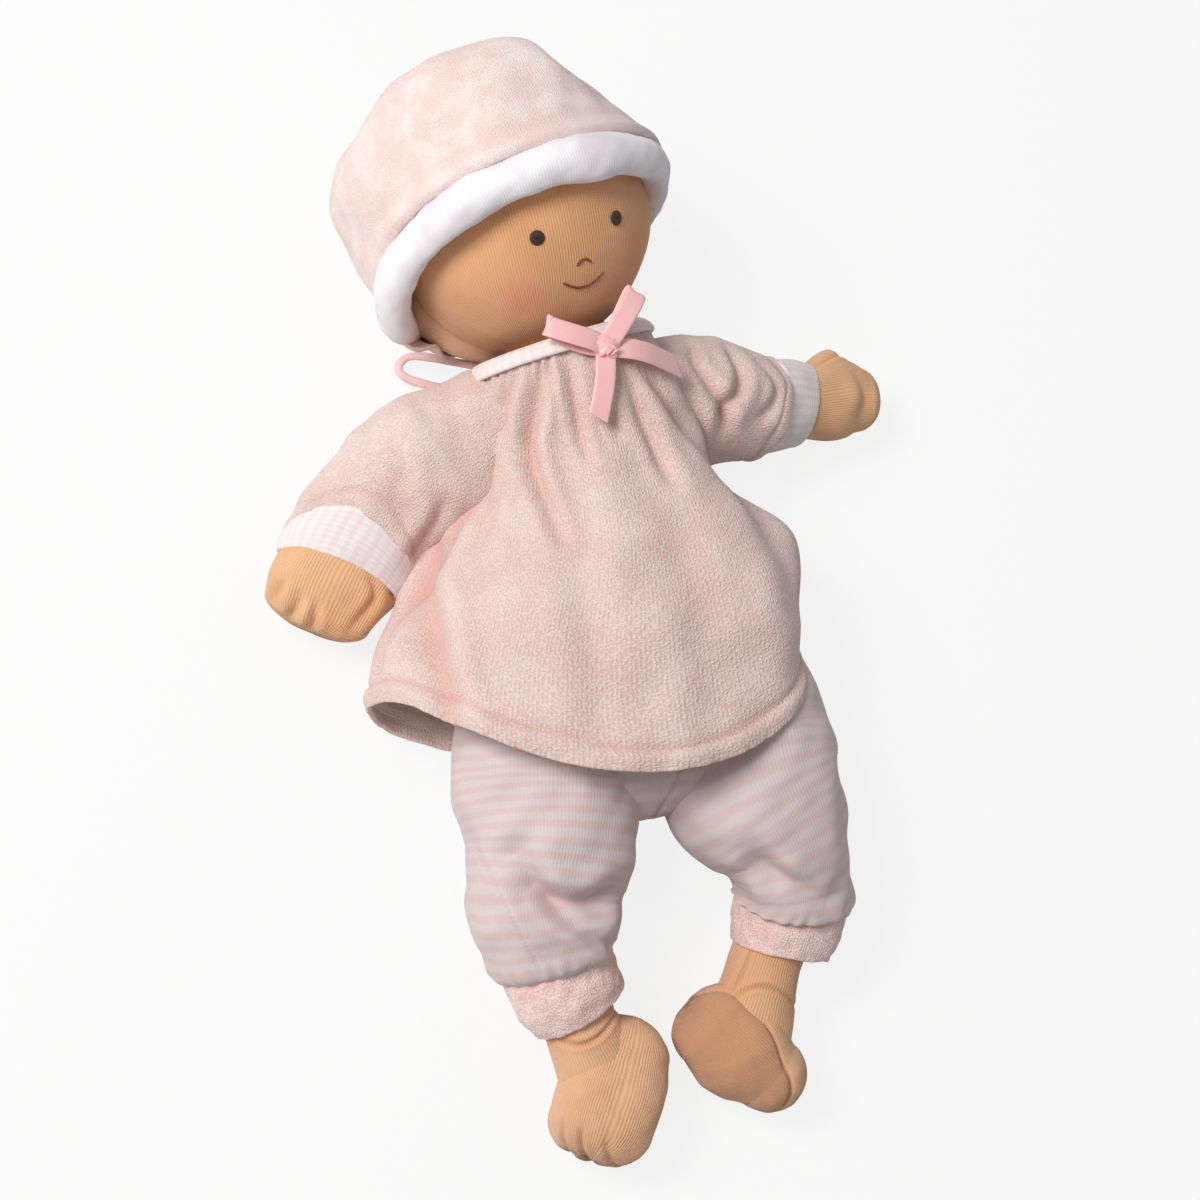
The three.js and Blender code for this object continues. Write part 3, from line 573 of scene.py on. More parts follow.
def addLamp(name, place, size, power, colour, target):
    lamp = bpy.data.objects.new(name, bpy.data.lights.new(name, "AREA"))
    bpy.context.scene.collection.objects.link(lamp)
    lamp.data.shape = "DISK"
    lamp.data.size, lamp.data.energy, lamp.data.color = size, power, colour
    lamp.location = place
    lamp.rotation_mode = "QUATERNION"
    lamp.rotation_quaternion = (Vector(target) - Vector(place)).to_track_quat("-Z", "Y")


def makeWorld(s):  # white where it is seen or mirrored, dim where it only lights
    world = bpy.data.worlds.new("studio")
    bpy.context.scene.world = world
    world.use_nodes = True
    nodes = Nodes(world.node_tree)
    camera, glossy, through = (nodes.add("ShaderNodeLightPath", out=f"Is {kind} Ray")
                               for kind in ("Camera", "Glossy", "Transmission"))
    seen = camera.reckon("MAXIMUM", camera.reckon("MAXIMUM", camera, glossy), through)
    background = nodes.tree.nodes["Background"]
    nodes.plug((1, 1, 1, 1), background.inputs[0])
    nodes.plug(seen * (1 - s["ambient"]) + s["ambient"], background.inputs[1])


def makeFloor(s):
    size, pale = s["floorHalf"], s["floorTone"]
    mesh = bpy.data.meshes.new("floor")
    mesh.from_pydata([(-size, -size, 0), (size, -size, 0), (size, size, 0), (-size, size, 0)], [],
                     [(0, 1, 2, 3)])
    floor = bpy.data.objects.new("floor", mesh)
    bpy.context.scene.collection.objects.link(floor)
    f = Finish("pale_floor", 0.9, specular=0.0)
    f.plug((pale, pale, pale, 1), f.shader.inputs["Base Color"])
    glow = f.add("ShaderNodeEmission", None, {"Strength": 1.0})
    share = f.add("ShaderNodeLightPath") * s["floorGlow"]
    blend = f.add("ShaderNodeMixShader", None, {0: share, 1: Wire(f, f.shader.outputs[0]), 2: glow})
    f.plug(blend, f.tree.nodes["Material Output"].inputs[0])
    mesh.materials.append(f.material)


bpy.context.scene.view_settings.view_transform = "Standard"
makeCamera(viewSet)
makeWorld(stageSet)
for lampName, lampSet in stageSet["lamps"].items():
    addLamp(lampName, *lampSet, stageSet["aim"])
makeFloor(stageSet)
print("camera, lamps and floor")

# Head

# The seam lies seamBack behind the middle, with its ridges from there. The head stands out further, by
# fullBy, the way that fuller points.
headSet = {"neck": (-6.2, 82.9, 46.5), "above": 51.5, "tilt": 9.0, "nod": 6.0, "turn": 4.5,
           "radius": 45.0, "halfHeight": 48.0, "fuller": (-0.7, -0.6, -0.3), "fullBy": 7.0,
           "seamBack": 12.0, "seam": ((-0.9, 0, 0.8), (0.35, 3, 2.2)), "pucker": 0.12, "puckers": 70,
           "waves": ((0.35, 30, 3),), "fill": 0.9}
blushSet = {"spots": ((-37.0, -33.5), (43.0, -33.0)), "width": 9.0, "strength": 0.5}
headTurn = turned("Z", headSet["tilt"]) @ turned("X", headSet["nod"]) @ turned("Y", headSet["turn"])
neckPoint = np.array(headSet["neck"])
neckAxis = headTurn @ np.array([0.0, 1.0, 0.0])
headCentre = neckPoint + neckAxis * headSet["above"]


def inHead(points):  # from the head's own frame, y up through the crown and z out of the face
    return points @ headTurn.T + headCentre


def onFace(degrees, height, lift=0.0):
    # A spot on the ovoid head from its angle round the head's axis and its height, lifted off the cloth
    r, h = headSet["radius"], headSet["halfHeight"]
    spot = roundAxis(r * np.sqrt(1 - (height / h) ** 2), height, np.radians(degrees))
    return spot + unit(spot / np.array([r * r, h * h, r * r])) * np.asarray(lift)[..., None]


def fullness(points):  # how much further the head stands out low on its right, behind the seam
    low = ease(unit(points) @ unit(np.array(headSet["fuller"])), 0.45, 0.95)
    return headSet["fullBy"] * low * ease(-points[..., 2] - headSet["seamBack"], -1.0, 11.0)


def makeHead(s, blush):
    # An ovoid: ring radius r sin(a), height h cos(a), with a sewn groove round it behind the face
    a = np.linspace(0.02, math.pi - 0.02, 190)[:, None]
    b = circle(300)[None, :] - math.pi
    r, h = s["radius"], s["halfHeight"]
    grid = roundAxis(r * np.sin(a), h * np.cos(a), b)
    behind = grid[..., 2] + s["seamBack"]
    pucker = np.sin(np.arctan2(grid[..., 0], grid[..., 1]) * s["puckers"]) * bell(behind, 2.0)
    height = ridges(behind, s["seam"]) + s["pucker"] * pucker + waves(grid, s["waves"]) + fullness(grid)
    blushAndSoleShade = 0
    for degrees, up in blush["spots"]:
        away = np.linalg.norm(grid - onFace(degrees, up), axis=-1)
        blushAndSoleShade = blushAndSoleShade + blush["strength"] * bell(away, blush["width"])
    # the seam mark paints shade into the sewn groove; the blush is the cloth's own colour
    marks = {"seam": 0.9 * bell(behind, 0.6), "blushAndSoleShade": blushAndSoleShade}
    across = b * r * (1 + np.sin(a)) / 2
    mesh = makeMesh("head_cloth", inHead(raised(grid, height)), across, h * a, marks=marks)
    stands = ("face_panel", "head_back_panel", "head_filling")
    piece = addPiece("head_cloth", mesh, finishes["face"], stands)
    mesh.materials.append(finishes["napeCloth"])
    centres = np.empty(len(mesh.polygons) * 3)
    mesh.polygons.foreach_get("center", centres)
    local = (centres.reshape(-1, 3) / mm - headCentre) @ headTurn
    mesh.polygons.foreach_set("material_index", (local[:, 2] < -s["seamBack"]).astype(np.int32))
    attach(piece, "head")


# stitches: each line's width, how far its ends lie below the head's middle and how far its middle sags
faceSet = {"eyeRadius": 2.5, "eyeSpread": 20.4, "eyeDrop": 16.0, "eyeThick": 0.75, "eyeBack": 0.35,
           "eyeStitches": 26, "eyeRib": 0.10, "eyeLift": 0.15, "thread": 0.43, "stitch": 2.4,
           "stitches": {"nose_stitch": (5.4, 27.6, -1.6), "mouth_stitch": (15.5, 31.2, 2.8)}}


def makeEye(name, side, s):
    # A low dome of thread: height (1 - r^2)^0.5, ribbed by stitches from the middle out
    rows = 26
    r = np.sin(np.linspace(0.02, math.pi - 0.02, rows))[:, None]
    top = np.where(np.arange(rows) < rows / 2, 1.0, -s["eyeBack"])[:, None]
    b = circle(104)[None, :]
    rib = 1 + s["eyeRib"] * np.sin(b * s["eyeStitches"]) * r
    high = s["eyeThick"] * top * np.sqrt(np.maximum(1 - r * r, 0)) * rib
    x, y = s["eyeRadius"] * r * np.cos(b), s["eyeRadius"] * r * np.sin(b)
    middle = onFace(side * s["eyeSpread"], -s["eyeDrop"])
    out = unit(middle / np.array([1.0, (headSet["halfHeight"] / headSet["radius"]) ** 2, 1.0]))
    sideways = unit(np.cross(np.array([0.0, 1.0, 0.0]), out))
    above = np.cross(out, sideways)
    bulge = -(x * x + y * y) / (2 * headSet["radius"])
    grid = middle + x[..., None] * sideways + y[..., None] * above
    grid = grid + (high + bulge + s["eyeLift"])[..., None] * out
    mesh = makeMesh(name, inHead(grid), b * s["eyeRadius"], r * s["eyeRadius"])
    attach(addPiece(name, mesh, finishes["eye"], (name,)), "head")


def cordGrid(path, radius, cols=14, flat=1.0):
    # A tube round a path of points; radius may change along it, and flat makes the section an oval
    forward = unit(np.gradient(path, axis=0))
    sides = [unit(np.cross(forward[0], upward + 0.01))]
    for step in forward[1:]:
        sides.append(unit(sides[-1] - step * (sides[-1] @ step)))
    side = np.array(sides)[:, None, :]
    other = np.cross(forward[:, None, :], side)
    b = circle(cols)[None, :, None]
    radius = np.broadcast_to(radius, path.shape[:1])[:, None, None]
    return path[:, None, :] + radius * (np.cos(b) * side + flat * np.sin(b) * other)


def makeStitchedLine(name, width, drop, sag, s):
    # A row of back stitches along an arc on the face, each stitch swelling in its middle
    share = np.linspace(-1, 1, 160)
    ring = headSet["radius"] * math.sqrt(1 - (drop / headSet["halfHeight"]) ** 2)
    reach = math.degrees(width / 2 / ring)
    along = (share + 1) / 2 * width
    swell = np.abs(np.sin(along * math.pi / s["stitch"])) ** 0.5
    ends = np.sqrt(np.clip(np.minimum(share + 1, 1 - share) * 8, 0, 1))
    path = onFace(share * reach, -drop - sag * (1 - share ** 2), 0.1 + 0.25 * swell)
    radius = s["thread"] * (0.62 + 0.38 * swell) * (0.15 + 0.85 * ends)
    grid = cordGrid(inHead(path), radius)
    mesh = makeMesh(name, grid, circle(grid.shape[1]) * 3.0 / tau, along[:, None])
    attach(addPiece(name, mesh, finishes["lips"], (name,)), "head")


makeHead(headSet, blushSet)
makeEye("right_eye", -1, faceSet)
makeEye("left_eye", 1, faceSet)
for lineName, lineSet in faceSet["stitches"].items():
    makeStitchedLine(lineName, *lineSet, faceSet)
print("head and face")

# Hat

# Turns round the hat are in degrees. Those of sagAt, pressedAt and narrowedAt run from the face towards the
# doll's left, each with its width; the brim is thinned between under and until, and the crown tucked down
# within behind, which run towards its right. The crown leans in over the head on the left.
hatSet = {"tilt": 15.0, "brimDrop": 9.5, "halfTall": 7.5, "halfThick": 5.6, "radius": 55.0, "height": 52.0,
          "sag": 10.5, "sagAt": (-116, 0.6), "pressed": 4.2, "pressedAt": (78, 0.5), "clear": 0.3,
          "narrowed": 0.22, "narrowedAt": (88, 0.45), "thinned": 0.62, "under": (98, 140),
          "until": (150, 178), "tuckDepth": 0.5, "tucks": 9, "brimWaves": ((0.6, 30, 8), (0.18, 8, 9)),
          "lean": 22.5, "leanAll": 2.5, "behind": ((92, 122), (195, 250)), "tucked": 17.0,
          "shrunk": 0.26, "shrunkFrom": (108, 145), "overHead": 2.6, "pleatDepth": 1.1, "pleats": 9,
          "hem": ((-0.45, 7.0, 2.6), (0.7, 2.0, 1.8)), "swell": (1.3, 46, 21), "dents": (0.5, 17, 22),
          "wall": 1.4}
hatTurn = headTurn @ turned("X", -hatSet["tilt"])


def inHat(points):
    return points @ hatTurn.T + headCentre


def overHead(points, room):  # from the hat's own frame, moved out to where they clear the head by that room
    way = unit(points @ turned("X", -hatSet["tilt"]).T)
    r, h = headSet["radius"], headSet["halfHeight"]
    skin = 1 / np.sqrt((way[..., 0] ** 2 + way[..., 2] ** 2) / r ** 2 + (way[..., 1] / h) ** 2)
    skin = skin + fullness(way * skin[..., None])
    far = np.linalg.norm(points, axis=-1)
    return points * (soften(far, skin + room, 0.8) / far)[..., None]


def hatSag(b):  # how much lower the hat's edge hangs at the turn b: most beside the back of the right cheek
    return hatSet["sag"] * near(b, *hatSet["sagAt"])


def makeBrim(s):
    # A flattened ring: oval section carried round the head, softly rippled, thinner where the crown covers it
    a = circle(64)[:, None] - math.pi
    b = circle(420)[None, :] - math.pi
    right = np.degrees(-b)
    thin = 1 - s["thinned"] * ease(right, *s["under"]) * (1 - ease(right, *s["until"]))
    thin = thin * (1 - s["narrowed"] * near(b, *s["narrowedAt"]))
    thick, tallHalf = s["halfThick"] * thin, s["halfTall"] * (0.35 + 0.65 * thin)
    ring = headSet["radius"] + s["clear"] + thick
    ring = ring - s["pressed"] * near(b, *s["pressedAt"]) + 0.15 * hatSag(b)
    level = -s["brimDrop"] - hatSag(b)
    outward = np.cos(a) * thick * (1 + 0.10 * np.cos(2 * a))
    tall = np.sin(a) * tallHalf * (1 + 0.05 * np.sin(3 * b))
    grid = roundAxis(ring + outward, tall + level, b)
    soft = -0.35 * bell(np.sin(a) - 0.2 - 0.25 * np.sin(2 * b + 1), 0.4) * (np.cos(a) > 0)
    tucks = s["tuckDepth"] * np.sin(b * s["tucks"] + 2.5 * np.sin(b * 2)) * bell(a + 1.28, 1.2)
    height = soft + tucks + waves(grid, s["brimWaves"])
    grid = grid + unit(grid - roundAxis(ring, level, b)) * height[..., None]
    grid = onFloor(inHat(grid), 0.3, 0.8)
    mesh = makeMesh("hat_brim", grid, b * headSet["radius"], a * 6.5, ring=True)
    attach(addPiece("hat_brim", mesh, finishes["brim"], ("hat_brim_roll",)), "hat")


def crownProfile(s, base, rows):  # radius and level from the rim to the top, and each row's share of the way
    puff = s["height"] - base
    rim = headSet["radius"] + s["clear"] + s["halfThick"] + 2.2
    shares = ((1, 0.27), (0.975, 0.5), (0.82, 0.75), (0.55, 0.92), (0.24, 0.995))
    stops = [(rim - 1.0, base), (rim + 1.5, base + 1.5)]
    stops += [(s["radius"] * wide, base + puff * high) for wide, high in shares] + [(0.3, base + puff)]
    share = np.linspace(0, 1, rows)
    return follow(np.array(stops), share * (len(stops) - 1))[0], share


def makeCrown(s):
    # Rings up the hat's axis from the brim, puffed out and drawn together in gathers at the top
    rows, cols = 190, 380
    base = s["halfTall"] - s["brimDrop"] - 1.0
    place, share = crownProfile(s, base, rows)
    b = circle(cols)[None, :]
    radius, level = place[:, :1], place[:, 1:]
    share = np.broadcast_to(share[:, None], (rows, cols))
    grid = roundAxis(radius, level, b)
    leaning = ease(level, base - 5, base + (s["height"] - base) * 0.65)
    left = ease(np.sin(b), 0.0, 0.95) * radius / s["radius"]
    grid[..., 0] -= leaning * (s["lean"] * left + s["leanAll"])
    right = np.degrees(-b) % 360
    starting, ending = s["behind"]
    behind = ease(right, *starting) * (1 - ease(right, *ending))
    drawnIn = s["shrunk"] * ease(right, *s["shrunkFrom"]) * behind * (1 - ease(share, 0.0, 0.22))
    grid = grid * (1 - drawnIn[..., None] * np.array([1.0, 0.0, 1.0]))
    lowered = hatSag(b) * (1 - ease(share, 0.02, 0.4))
    grid[..., 1] -= lowered + s["tucked"] * behind * (1 - ease(share, 0.02, 0.34))
    top = bell(share - 0.87, 0.12)
    pleats = np.abs(np.sin(b * s["pleats"] + 1.2 * np.sin(b * 2 + 1))) - 0.5
    edge = level - base + 0 * b
    height = s["pleatDepth"] * pleats * top + waves(grid, [s["swell"]]) * ease(share, 0.1, 0.4)
    height = height + waves(grid, [s["dents"]]) * ease(share, 0.05, 0.3) + ridges(edge, s["hem"])
    grid = inHat(overHead(raised(grid, height), s["overHead"]))
    # fold carries painted shade: darker between the top's pleats, along the hem's dent and in low parts of
    # the swell
    fold = 0.5 * top * ease(-pleats, 0.1, 0.5) + 0.3 * bell(edge - 7.0, 2.2)
    fold = 0.6 * (fold + 0.25 * ease(-drift(grid, *s["swell"][1:]), 0.3, 1))
    outer = onFloor(grid, 0.4, 0.8)
    inner = outer - normalsOf(outer) * s["wall"]
    inner[-1] = outer[-1] - unit(hatTurn @ np.array([0.0, 1.0, 0.0])) * s["wall"]
    far = lengths(outer)[:, None]
    mesh = makeMesh("hat_velour", np.concatenate([inner[::-1], outer]), b * s["radius"],
                    np.concatenate([far[::-1], far]), marks={"fold": np.concatenate([fold[::-1], fold])})
    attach(addPiece("hat_velour", mesh, finishes["hat"], ("hat_crown",)), "hat")


makeBrim(hatSet)
makeCrown(hatSet)
print("hat")

# Body under the clothes

# stations: share of the length, height off the floor, and shares of the half width and half depth
bodySet = {"top": 62.0, "length": 134.0, "halfWidth": 46.0, "halfDepth": 32.0, "seam": 33, "neckRadius": 18,
           "stations": ((0, 38, 0.5, 0.7), (0.12, 36, 0.76, 0.88), (0.35, 35, 0.86, 0.95),
                        (0.62, 37, 0.95, 1.02), (0.88, 33, 0.84, 0.8)),
           "domes": (4, 16), "waves": ((0.4, 30, 31),), "groove": 0.8, "floor": 4.0}


def bodyStops(s, grow=0.0):
    neck = [*(neckPoint + neckAxis * 6), s["neckRadius"], s["neckRadius"]]
    return [neck] + [[0, s["top"] - s["length"] * share, height, s["halfWidth"] * wide + grow,
                      s["halfDepth"] * deep + grow] for share, height, wide, deep in s["stations"]]


def makeBody(s):
    # Ovals down the trunk: narrow at the neck, full at the belly, rounded between the legs
    grid = domed(bodyStops(s), 90, 120, s["domes"])[0]
    grid = raised(grid, waves(grid, s["waves"]) - s["groove"] * bell(grid[..., 2] - s["seam"], 1.0))
    grid = onFloor(grid, s["floor"])
    stands = ("body_front_panel", "body_back_panel", "body_filling")
    # painted shade along the side seam's groove
    marks = {"seam": bell(grid[..., 2] - s["seam"], 0.5)}
    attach(stuffed("body_cloth", grid, finishes["skin"], stands, marks), "root")


# middle: x of the seam between the halves, and below seamTurns it leans over by lean
seatSet = {"grow": 2.4, "first": 3, "domes": (4, 18.5), "waves": ((0.5, 26, 33),), "groove": 0.8,
           "floor": 3.0, "middle": 3.0, "seamTurns": -60.0, "lean": 0.45}


def middleSeam(y):  # where the two trouser halves meet: x from the place along the body
    return seatSet["middle"] - seatSet["lean"] * soften(seatSet["seamTurns"] - y, 0.0, 3.0)


def makeSeat(s, body):
    # The seat of the trousers: the lower trunk grown outwards, with the seam of its halves down the front
    grid = domed(bodyStops(body, s["grow"])[s["first"]:], 110, 220, s["domes"])[0]
    sewn = bell(grid[..., 0] - middleSeam(grid[..., 1]), 0.9)
    grid = onFloor(raised(grid, waves(grid, s["waves"]) - s["groove"] * sewn), s["floor"])
    # fold and seam paint shade along the groove where the halves are sewn
    marks = {"fold": 0.3 * sewn, "seam": 0.5 * sewn}
    mesh = makeMesh("trouser_seat", grid, grid[..., 0], -grid[..., 1], marks=marks)
    stands = ("left_trouser_seat", "right_trouser_seat")
    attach(addPiece("trouser_seat", mesh, finishes["trouser"], stands), "root")


makeBody(bodySet)
makeSeat(seatSet, bodySet)
print("body")

# Smock

# lower: turn in degrees, spread and how much further out the hem lies there. fuller: turn, spread, share of
# the way down, its width there and how far the cloth swells. folds: deep folds, by their turn at the neck and
# at the hem, the shares where they start and end, depth and width. Turns run from the doll's left over the
# front.
smockSet = {"neckWide": 31.0, "neckDeep": 27.0, "top": 62.0, "hem": 86.0, "shift": 12.0, "front": 80.0,
            "start": 0.93, "hemReach": 115.0, "hemSlope": 0.2, "wall": 1.4, "gatherDepth": 0.85,
            "gathers": 41, "swell": (1.4, 60, 41), "dents": (0.8, 22, 42), "hemBand": 7.0, "hemRoll": 3.15,
            "lower": ((8, 38, -9.0), (205, 40, 6.0)),
            "fuller": ((8, 36, 0.81, 0.12, 9.0), (12, 34, 0.55, 0.13, -6.5), (6, 34, 1.0, 0.10, -14.0),
                       (205, 38, 0.8, 0.35, 13.0)),
            "folds": ((185, 182, 0.2, 1.05, 3.0, 6.0), (215, 225, 0.2, 1.05, 3.5, 7.0),
                      (325, 335, 0.2, 1.05, 3.5, 8.0))}
# Directions the smock's ovals stand square to, from the neck down
smockWays = [-neckAxis, -neckAxis] + [-heading(90, slope) for slope in (8, 9, 6, 1, 0, 0)]


def smockStops(s):
    middle = s["front"] / 2
    top = neckPoint + neckAxis * 14
    return [[*top, s["neckWide"], s["neckDeep"]],
            [*neckPoint, s["neckWide"] + 0.5, s["neckDeep"] + 0.5],
            [-2, s["top"] + 4, middle - 2, s["neckWide"] + 8, middle - 5.5],
            [0, s["top"] - 12, middle - 6, s["hem"] * 0.52, middle - 4],
            [0, s["top"] - 44, middle - 3, s["hem"] * 0.66, middle - 1],
            [-s["shift"] * 0.6, s["top"] - 84, middle - 2, s["hem"] * 0.87, middle + 2],
            [-s["shift"], s["top"] - 128, middle - 2, s["hem"], middle + 2],
            [-s["shift"], s["top"] - 156, middle - 2, s["hem"] * 1.07, middle + 2]]


# Creases of its front: points x y, depth, width, share of painted shade
smockLines = [
    (((-38, 74), (-41, 65), (-45, 54)), 1.8, 1.8, 0.35),
    (((-30, 73), (-34, 63), (-33, 50)), 2.2, 1.7, 0.45),
    (((-22, 73), (-27, 57), (-29, 45), (-27, 18)), 4.2, 2.3, 0.5),
    (((-13, 73), (-13, 60), (-12, 42)), 2.0, 1.8, 0.35),
    (((-3, 70), (-3, 60), (0, 48)), 1.2, 1.6, 0.25),
    (((6, 66), (11, 49), (16, 31)), 2.5, 2.6, 0.35),
    (((14, 70), (25, 54), (39, 34)), 2.8, 3.0, 0.35),
    (((-41, 72), (-40, 60), (-42, 50), (-49, 38), (-58, 27), (-62, 20)), 2.8, 2.0, 0.7),
    (((-37, 67), (-41, 51), (-44, 38), (-49, 24)), 3.2, 2.8, 0.45),
    (((-58, 30), (-66, 18), (-70, 0), (-72, -25), (-71, -50)), 5.0, 3.8, 0.6),
    (((-26, 35), (-26, -5), (-27, -37)), 1.7, 8.0, 0.1),
    (((8, 34), (16, -3), (14, -51)), 1.8, 9.0, 0.1),
    (((43, 30), (53, 3), (56, -21)), 2.0, 8.0, 0.12),
]


def smockGrid(s, rows, cols):
    # Each column runs from the neckline to the hem, which is where the cloth is hemReach from a tilted axis.
    # Returns the swollen grid, and each point's turn and share of the way down.
    stops, turn = np.array(smockStops(s), float), circle(cols)
    slope = math.atan(s["hemSlope"])
    axis = np.array([0.0, -math.sin(slope), math.cos(slope)])
    fine = np.linspace(2.0, 7.0, 500)
    probe = sweep(stops, *np.broadcast_arrays(fine[:, None], turn[None, :]), ways=smockWays)
    away = probe - np.array([0.0, s["top"] + 8, 0.0])
    reach = np.linalg.norm(away - (away @ axis)[..., None] * axis, axis=-1)
    hemReach = s["hemReach"]
    for place, spread, more in s["lower"]:
        hemReach = hemReach + more * near(turn, place, math.radians(spread))
    hemAt = fine[np.argmax(reach > hemReach[None, :], axis=0)]
    hemAt = sum(np.roll(hemAt, k) for k in range(-4, 5)) / 9
    share = np.linspace(0, 1, rows)[:, None] ** 0.92
    t = s["start"] + share * (hemAt[None, :] - s["start"])
    turns, share = np.broadcast_to(turn[None, :], t.shape), np.broadcast_to(share, t.shape)
    grid = sweep(stops, t, turns, ways=smockWays)
    swell = 0
    for place, spread, at, width, more in s["fuller"]:
        swell = swell + more * near(turns, place, math.radians(spread)) * bell(share - at, width)
    return raised(grid, swell), turns, share


def makeSmock(s, lines):
    grid, turns, share = smockGrid(s, 140, 384)
    radius = np.linalg.norm(grid - grid.mean(1, keepdims=True), axis=-1)
    # fold carries painted shade: darker colour in creases, deep folds, gather hollows and the hem's groove
    height, fold = drawn(grid, lines)
    for first, last, begin, end, depth, width in s["folds"]:
        off = turnFrom(turns, first + (last - first) * share) * radius
        inside = ease(share, begin, begin + 0.12) * (1 - ease(share, end - 0.25, end))
        groove = bell(off, width) * inside
        lip = ridges(off, ((1, width * 1.7, width * 1.1), (1, -width * 1.7, width * 1.1)))
        height += depth * (-groove + 0.35 * lip * inside)
        fold += 0.6 * groove ** 1.5
    front = ease(np.sin(turns), 0.0, 0.5)
    fading = 1 - ease(share, 0.03, 0.24 + 0.10 * np.sin(turns * 13 + 1) + 0.05 * np.sin(turns * 29))
    gathers = turns * s["gathers"] + 2.4 * np.sin(turns * 5 + 1) + 1.5 * np.sin(turns * 12)
    gathers = np.sin(gathers) * fading * (0.65 + 0.35 * np.sin(turns * 9 + 2))
    height += s["gatherDepth"] * gathers * front
    fold += 0.3 * ease(-gathers, 0.2, 0.9) * front
    height += waves(grid, [s["swell"]]) * ease(share, 0.15, 0.5)
    height += waves(grid, [s["dents"]]) * ease(share, 0.1, 0.4)
    drop = np.abs(lengths(grid)[-1] - lengths(grid))[:, None] * (1 + 0.1 * drift(grid, 30, 44))
    height += ridges(drop, ((-1.2, s["hemBand"], 0.9), (1.2, s["hemRoll"], 2.6)))
    height += 0.25 * drift(grid, 4.0, 43) * bell(drop, 1.5)
    fold += 0.55 * bell(drop - s["hemBand"], 0.8)
    outer = onFloor(raised(grid, height), 0.7, 0.7)
    wall = s["wall"] + bell(drop.mean(1) - 2.5, 3.0)
    piece = garment("smock", outer, wall, finishes["smock"], ("smock_front", "smock_back"),
                    {"fold": np.clip(fold, 0, 0.8)})
    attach(piece, "root")
    return piece


smock = makeSmock(smockSet, smockLines)

bindingSet = {"wide": 31.2, "deep": 27.6, "thick": 1.6, "halfTall": 3.7, "above": 2.0, "slope": 42.0}


def makeBinding(s):
    # An oval band at the neckline, bellied out between its two sewn edges
    a = circle(30)[:, None] - math.pi
    b = circle(300)[None, :]
    c, n = math.cos(math.radians(s["slope"])), math.sin(math.radians(s["slope"]))
    thick, tall = s["thick"] * np.cos(a), s["halfTall"] * np.sin(a) * (1 + 0.06 * np.sin(3 * b + 1))
    outward = thick * c - tall * n
    level = s["above"] - headSet["above"] + thick * n + tall * c
    grid = inHead(roundAxis(s["wide"] + outward, level, b, s["deep"] + outward))
    mesh = makeMesh("neckline_binding", grid, b * 29.0, a * 1.8, ring=True)
    piece = addPiece("neckline_binding", mesh, finishes["cuff"], ("neck_binding",))
    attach(piece, "root")


makeBinding(bindingSet)
print("smock")

# Arms: hands, sleeves and cuffs

# sleeve: ovals x y z a b from the neckline to the cuff's edge. cuff: where along them its two edges lie, how
# far each edge is drawn back at the front and how far it leans sideways. lines and tucks: creases as for the
# smock. thumb: the place it grows from, how far it is pushed out and its width.
armSet = {
    "right": {
        "shoulder": (-50.0, 56.0, 29.0),
        "sleeve": ((-21, 72, 38, 17, 20), (-38, 62.5, 33, 22.5, 23.5), (-50, 56, 29, 26.5, 26.5),
                   (-62, 50.5, 27, 24.2, 23.7), (-73.6, 43, 25, 22.5, 17), (-82.5, 33.5, 22, 23, 15),
                   (-90.5, 23, 19, 22, 13.5)),
        "cuff": (5.75, 5.98, 1.35, 0.5, -0.12),
        "lines": ((((-69, 52), (-71, 42), (-65, 30)), 2.0, 3.4, 0.25),
                  (((-56, 38), (-62, 29), (-71, 21)), 2.4, 2.6, 0.4),
                  (((-95, 52), (-92, 44), (-84, 40)), 1.2, 2.2, 0.2)),
        "hand": ((-72, 43, 25, 15, 15), (-83, 33, 22, 17, 13.5), (-88.5, 26.5, 20, 19.3, 13.4),
                 (-93.5, 19.5, 18.5, 19.8, 12.5), (-97.5, 13, 17, 18.4, 11)),
        "domes": (10, 7.5), "thumb": ((-77, 12, 18), (6.0, 1.5, 2.0), 5.0),
        "tucks": ((((-109, 24), (-113, 18)), 1.4, 1.5, 0.15), (((-105, 17), (-109, 10)), 1.5, 1.5, 0.15),
                  (((-100, 14), (-102, 5)), 1.5, 1.5, 0.15),
                  (((-90, 4), (-83, 10), (-80, 14), (-81, 20)), 1.5, 1.6, 0.25)),
    },
    "left": {
        "shoulder": (50.0, 56.0, 29.0),
        "sleeve": ((20, 70, 36, 17, 20), (36, 67.5, 33, 21, 22), (48.6, 66, 30, 21.5, 23),
                   (63, 64, 27, 19.5, 20), (73.5, 63.3, 24, 17.3, 17), (81.5, 63, 22, 16, 14.5),
                   (89, 62.5, 20, 15.5, 13)),
        "cuff": (4.15, 6.0, 0.1, 0.1, 0.5),
        "lines": ((((40, 82), (39, 72), (45, 60), (51, 48)), 2.4, 2.3, 0.45),
                  (((55, 79), (55, 66), (47, 56), (46, 48)), 2.6, 2.5, 0.45),
                  (((67, 73), (70, 64), (67, 57), (60, 53)), 1.6, 2.0, 0.35)),
        "hand": ((64, 64, 26, 14, 14), (78, 63, 23, 13, 12.5), (90, 62.5, 20, 12.8, 11.5),
                 (98.5, 63, 18.5, 14.2, 11.5), (107, 63.5, 16.5, 14, 11), (114.5, 62.5, 15, 11.5, 9)),
        "domes": (10, 7.0), "thumb": ((101, 75, 18), (4.0, 4.5, 1.0), 6.0),
        "tucks": ((((92, 73), (100, 76), (108, 78)), 0.8, 0.8, 0.5),
                  (((110, 72), (113, 61), (107, 52)), 1.0, 2.4, 0.1)),
    },
}


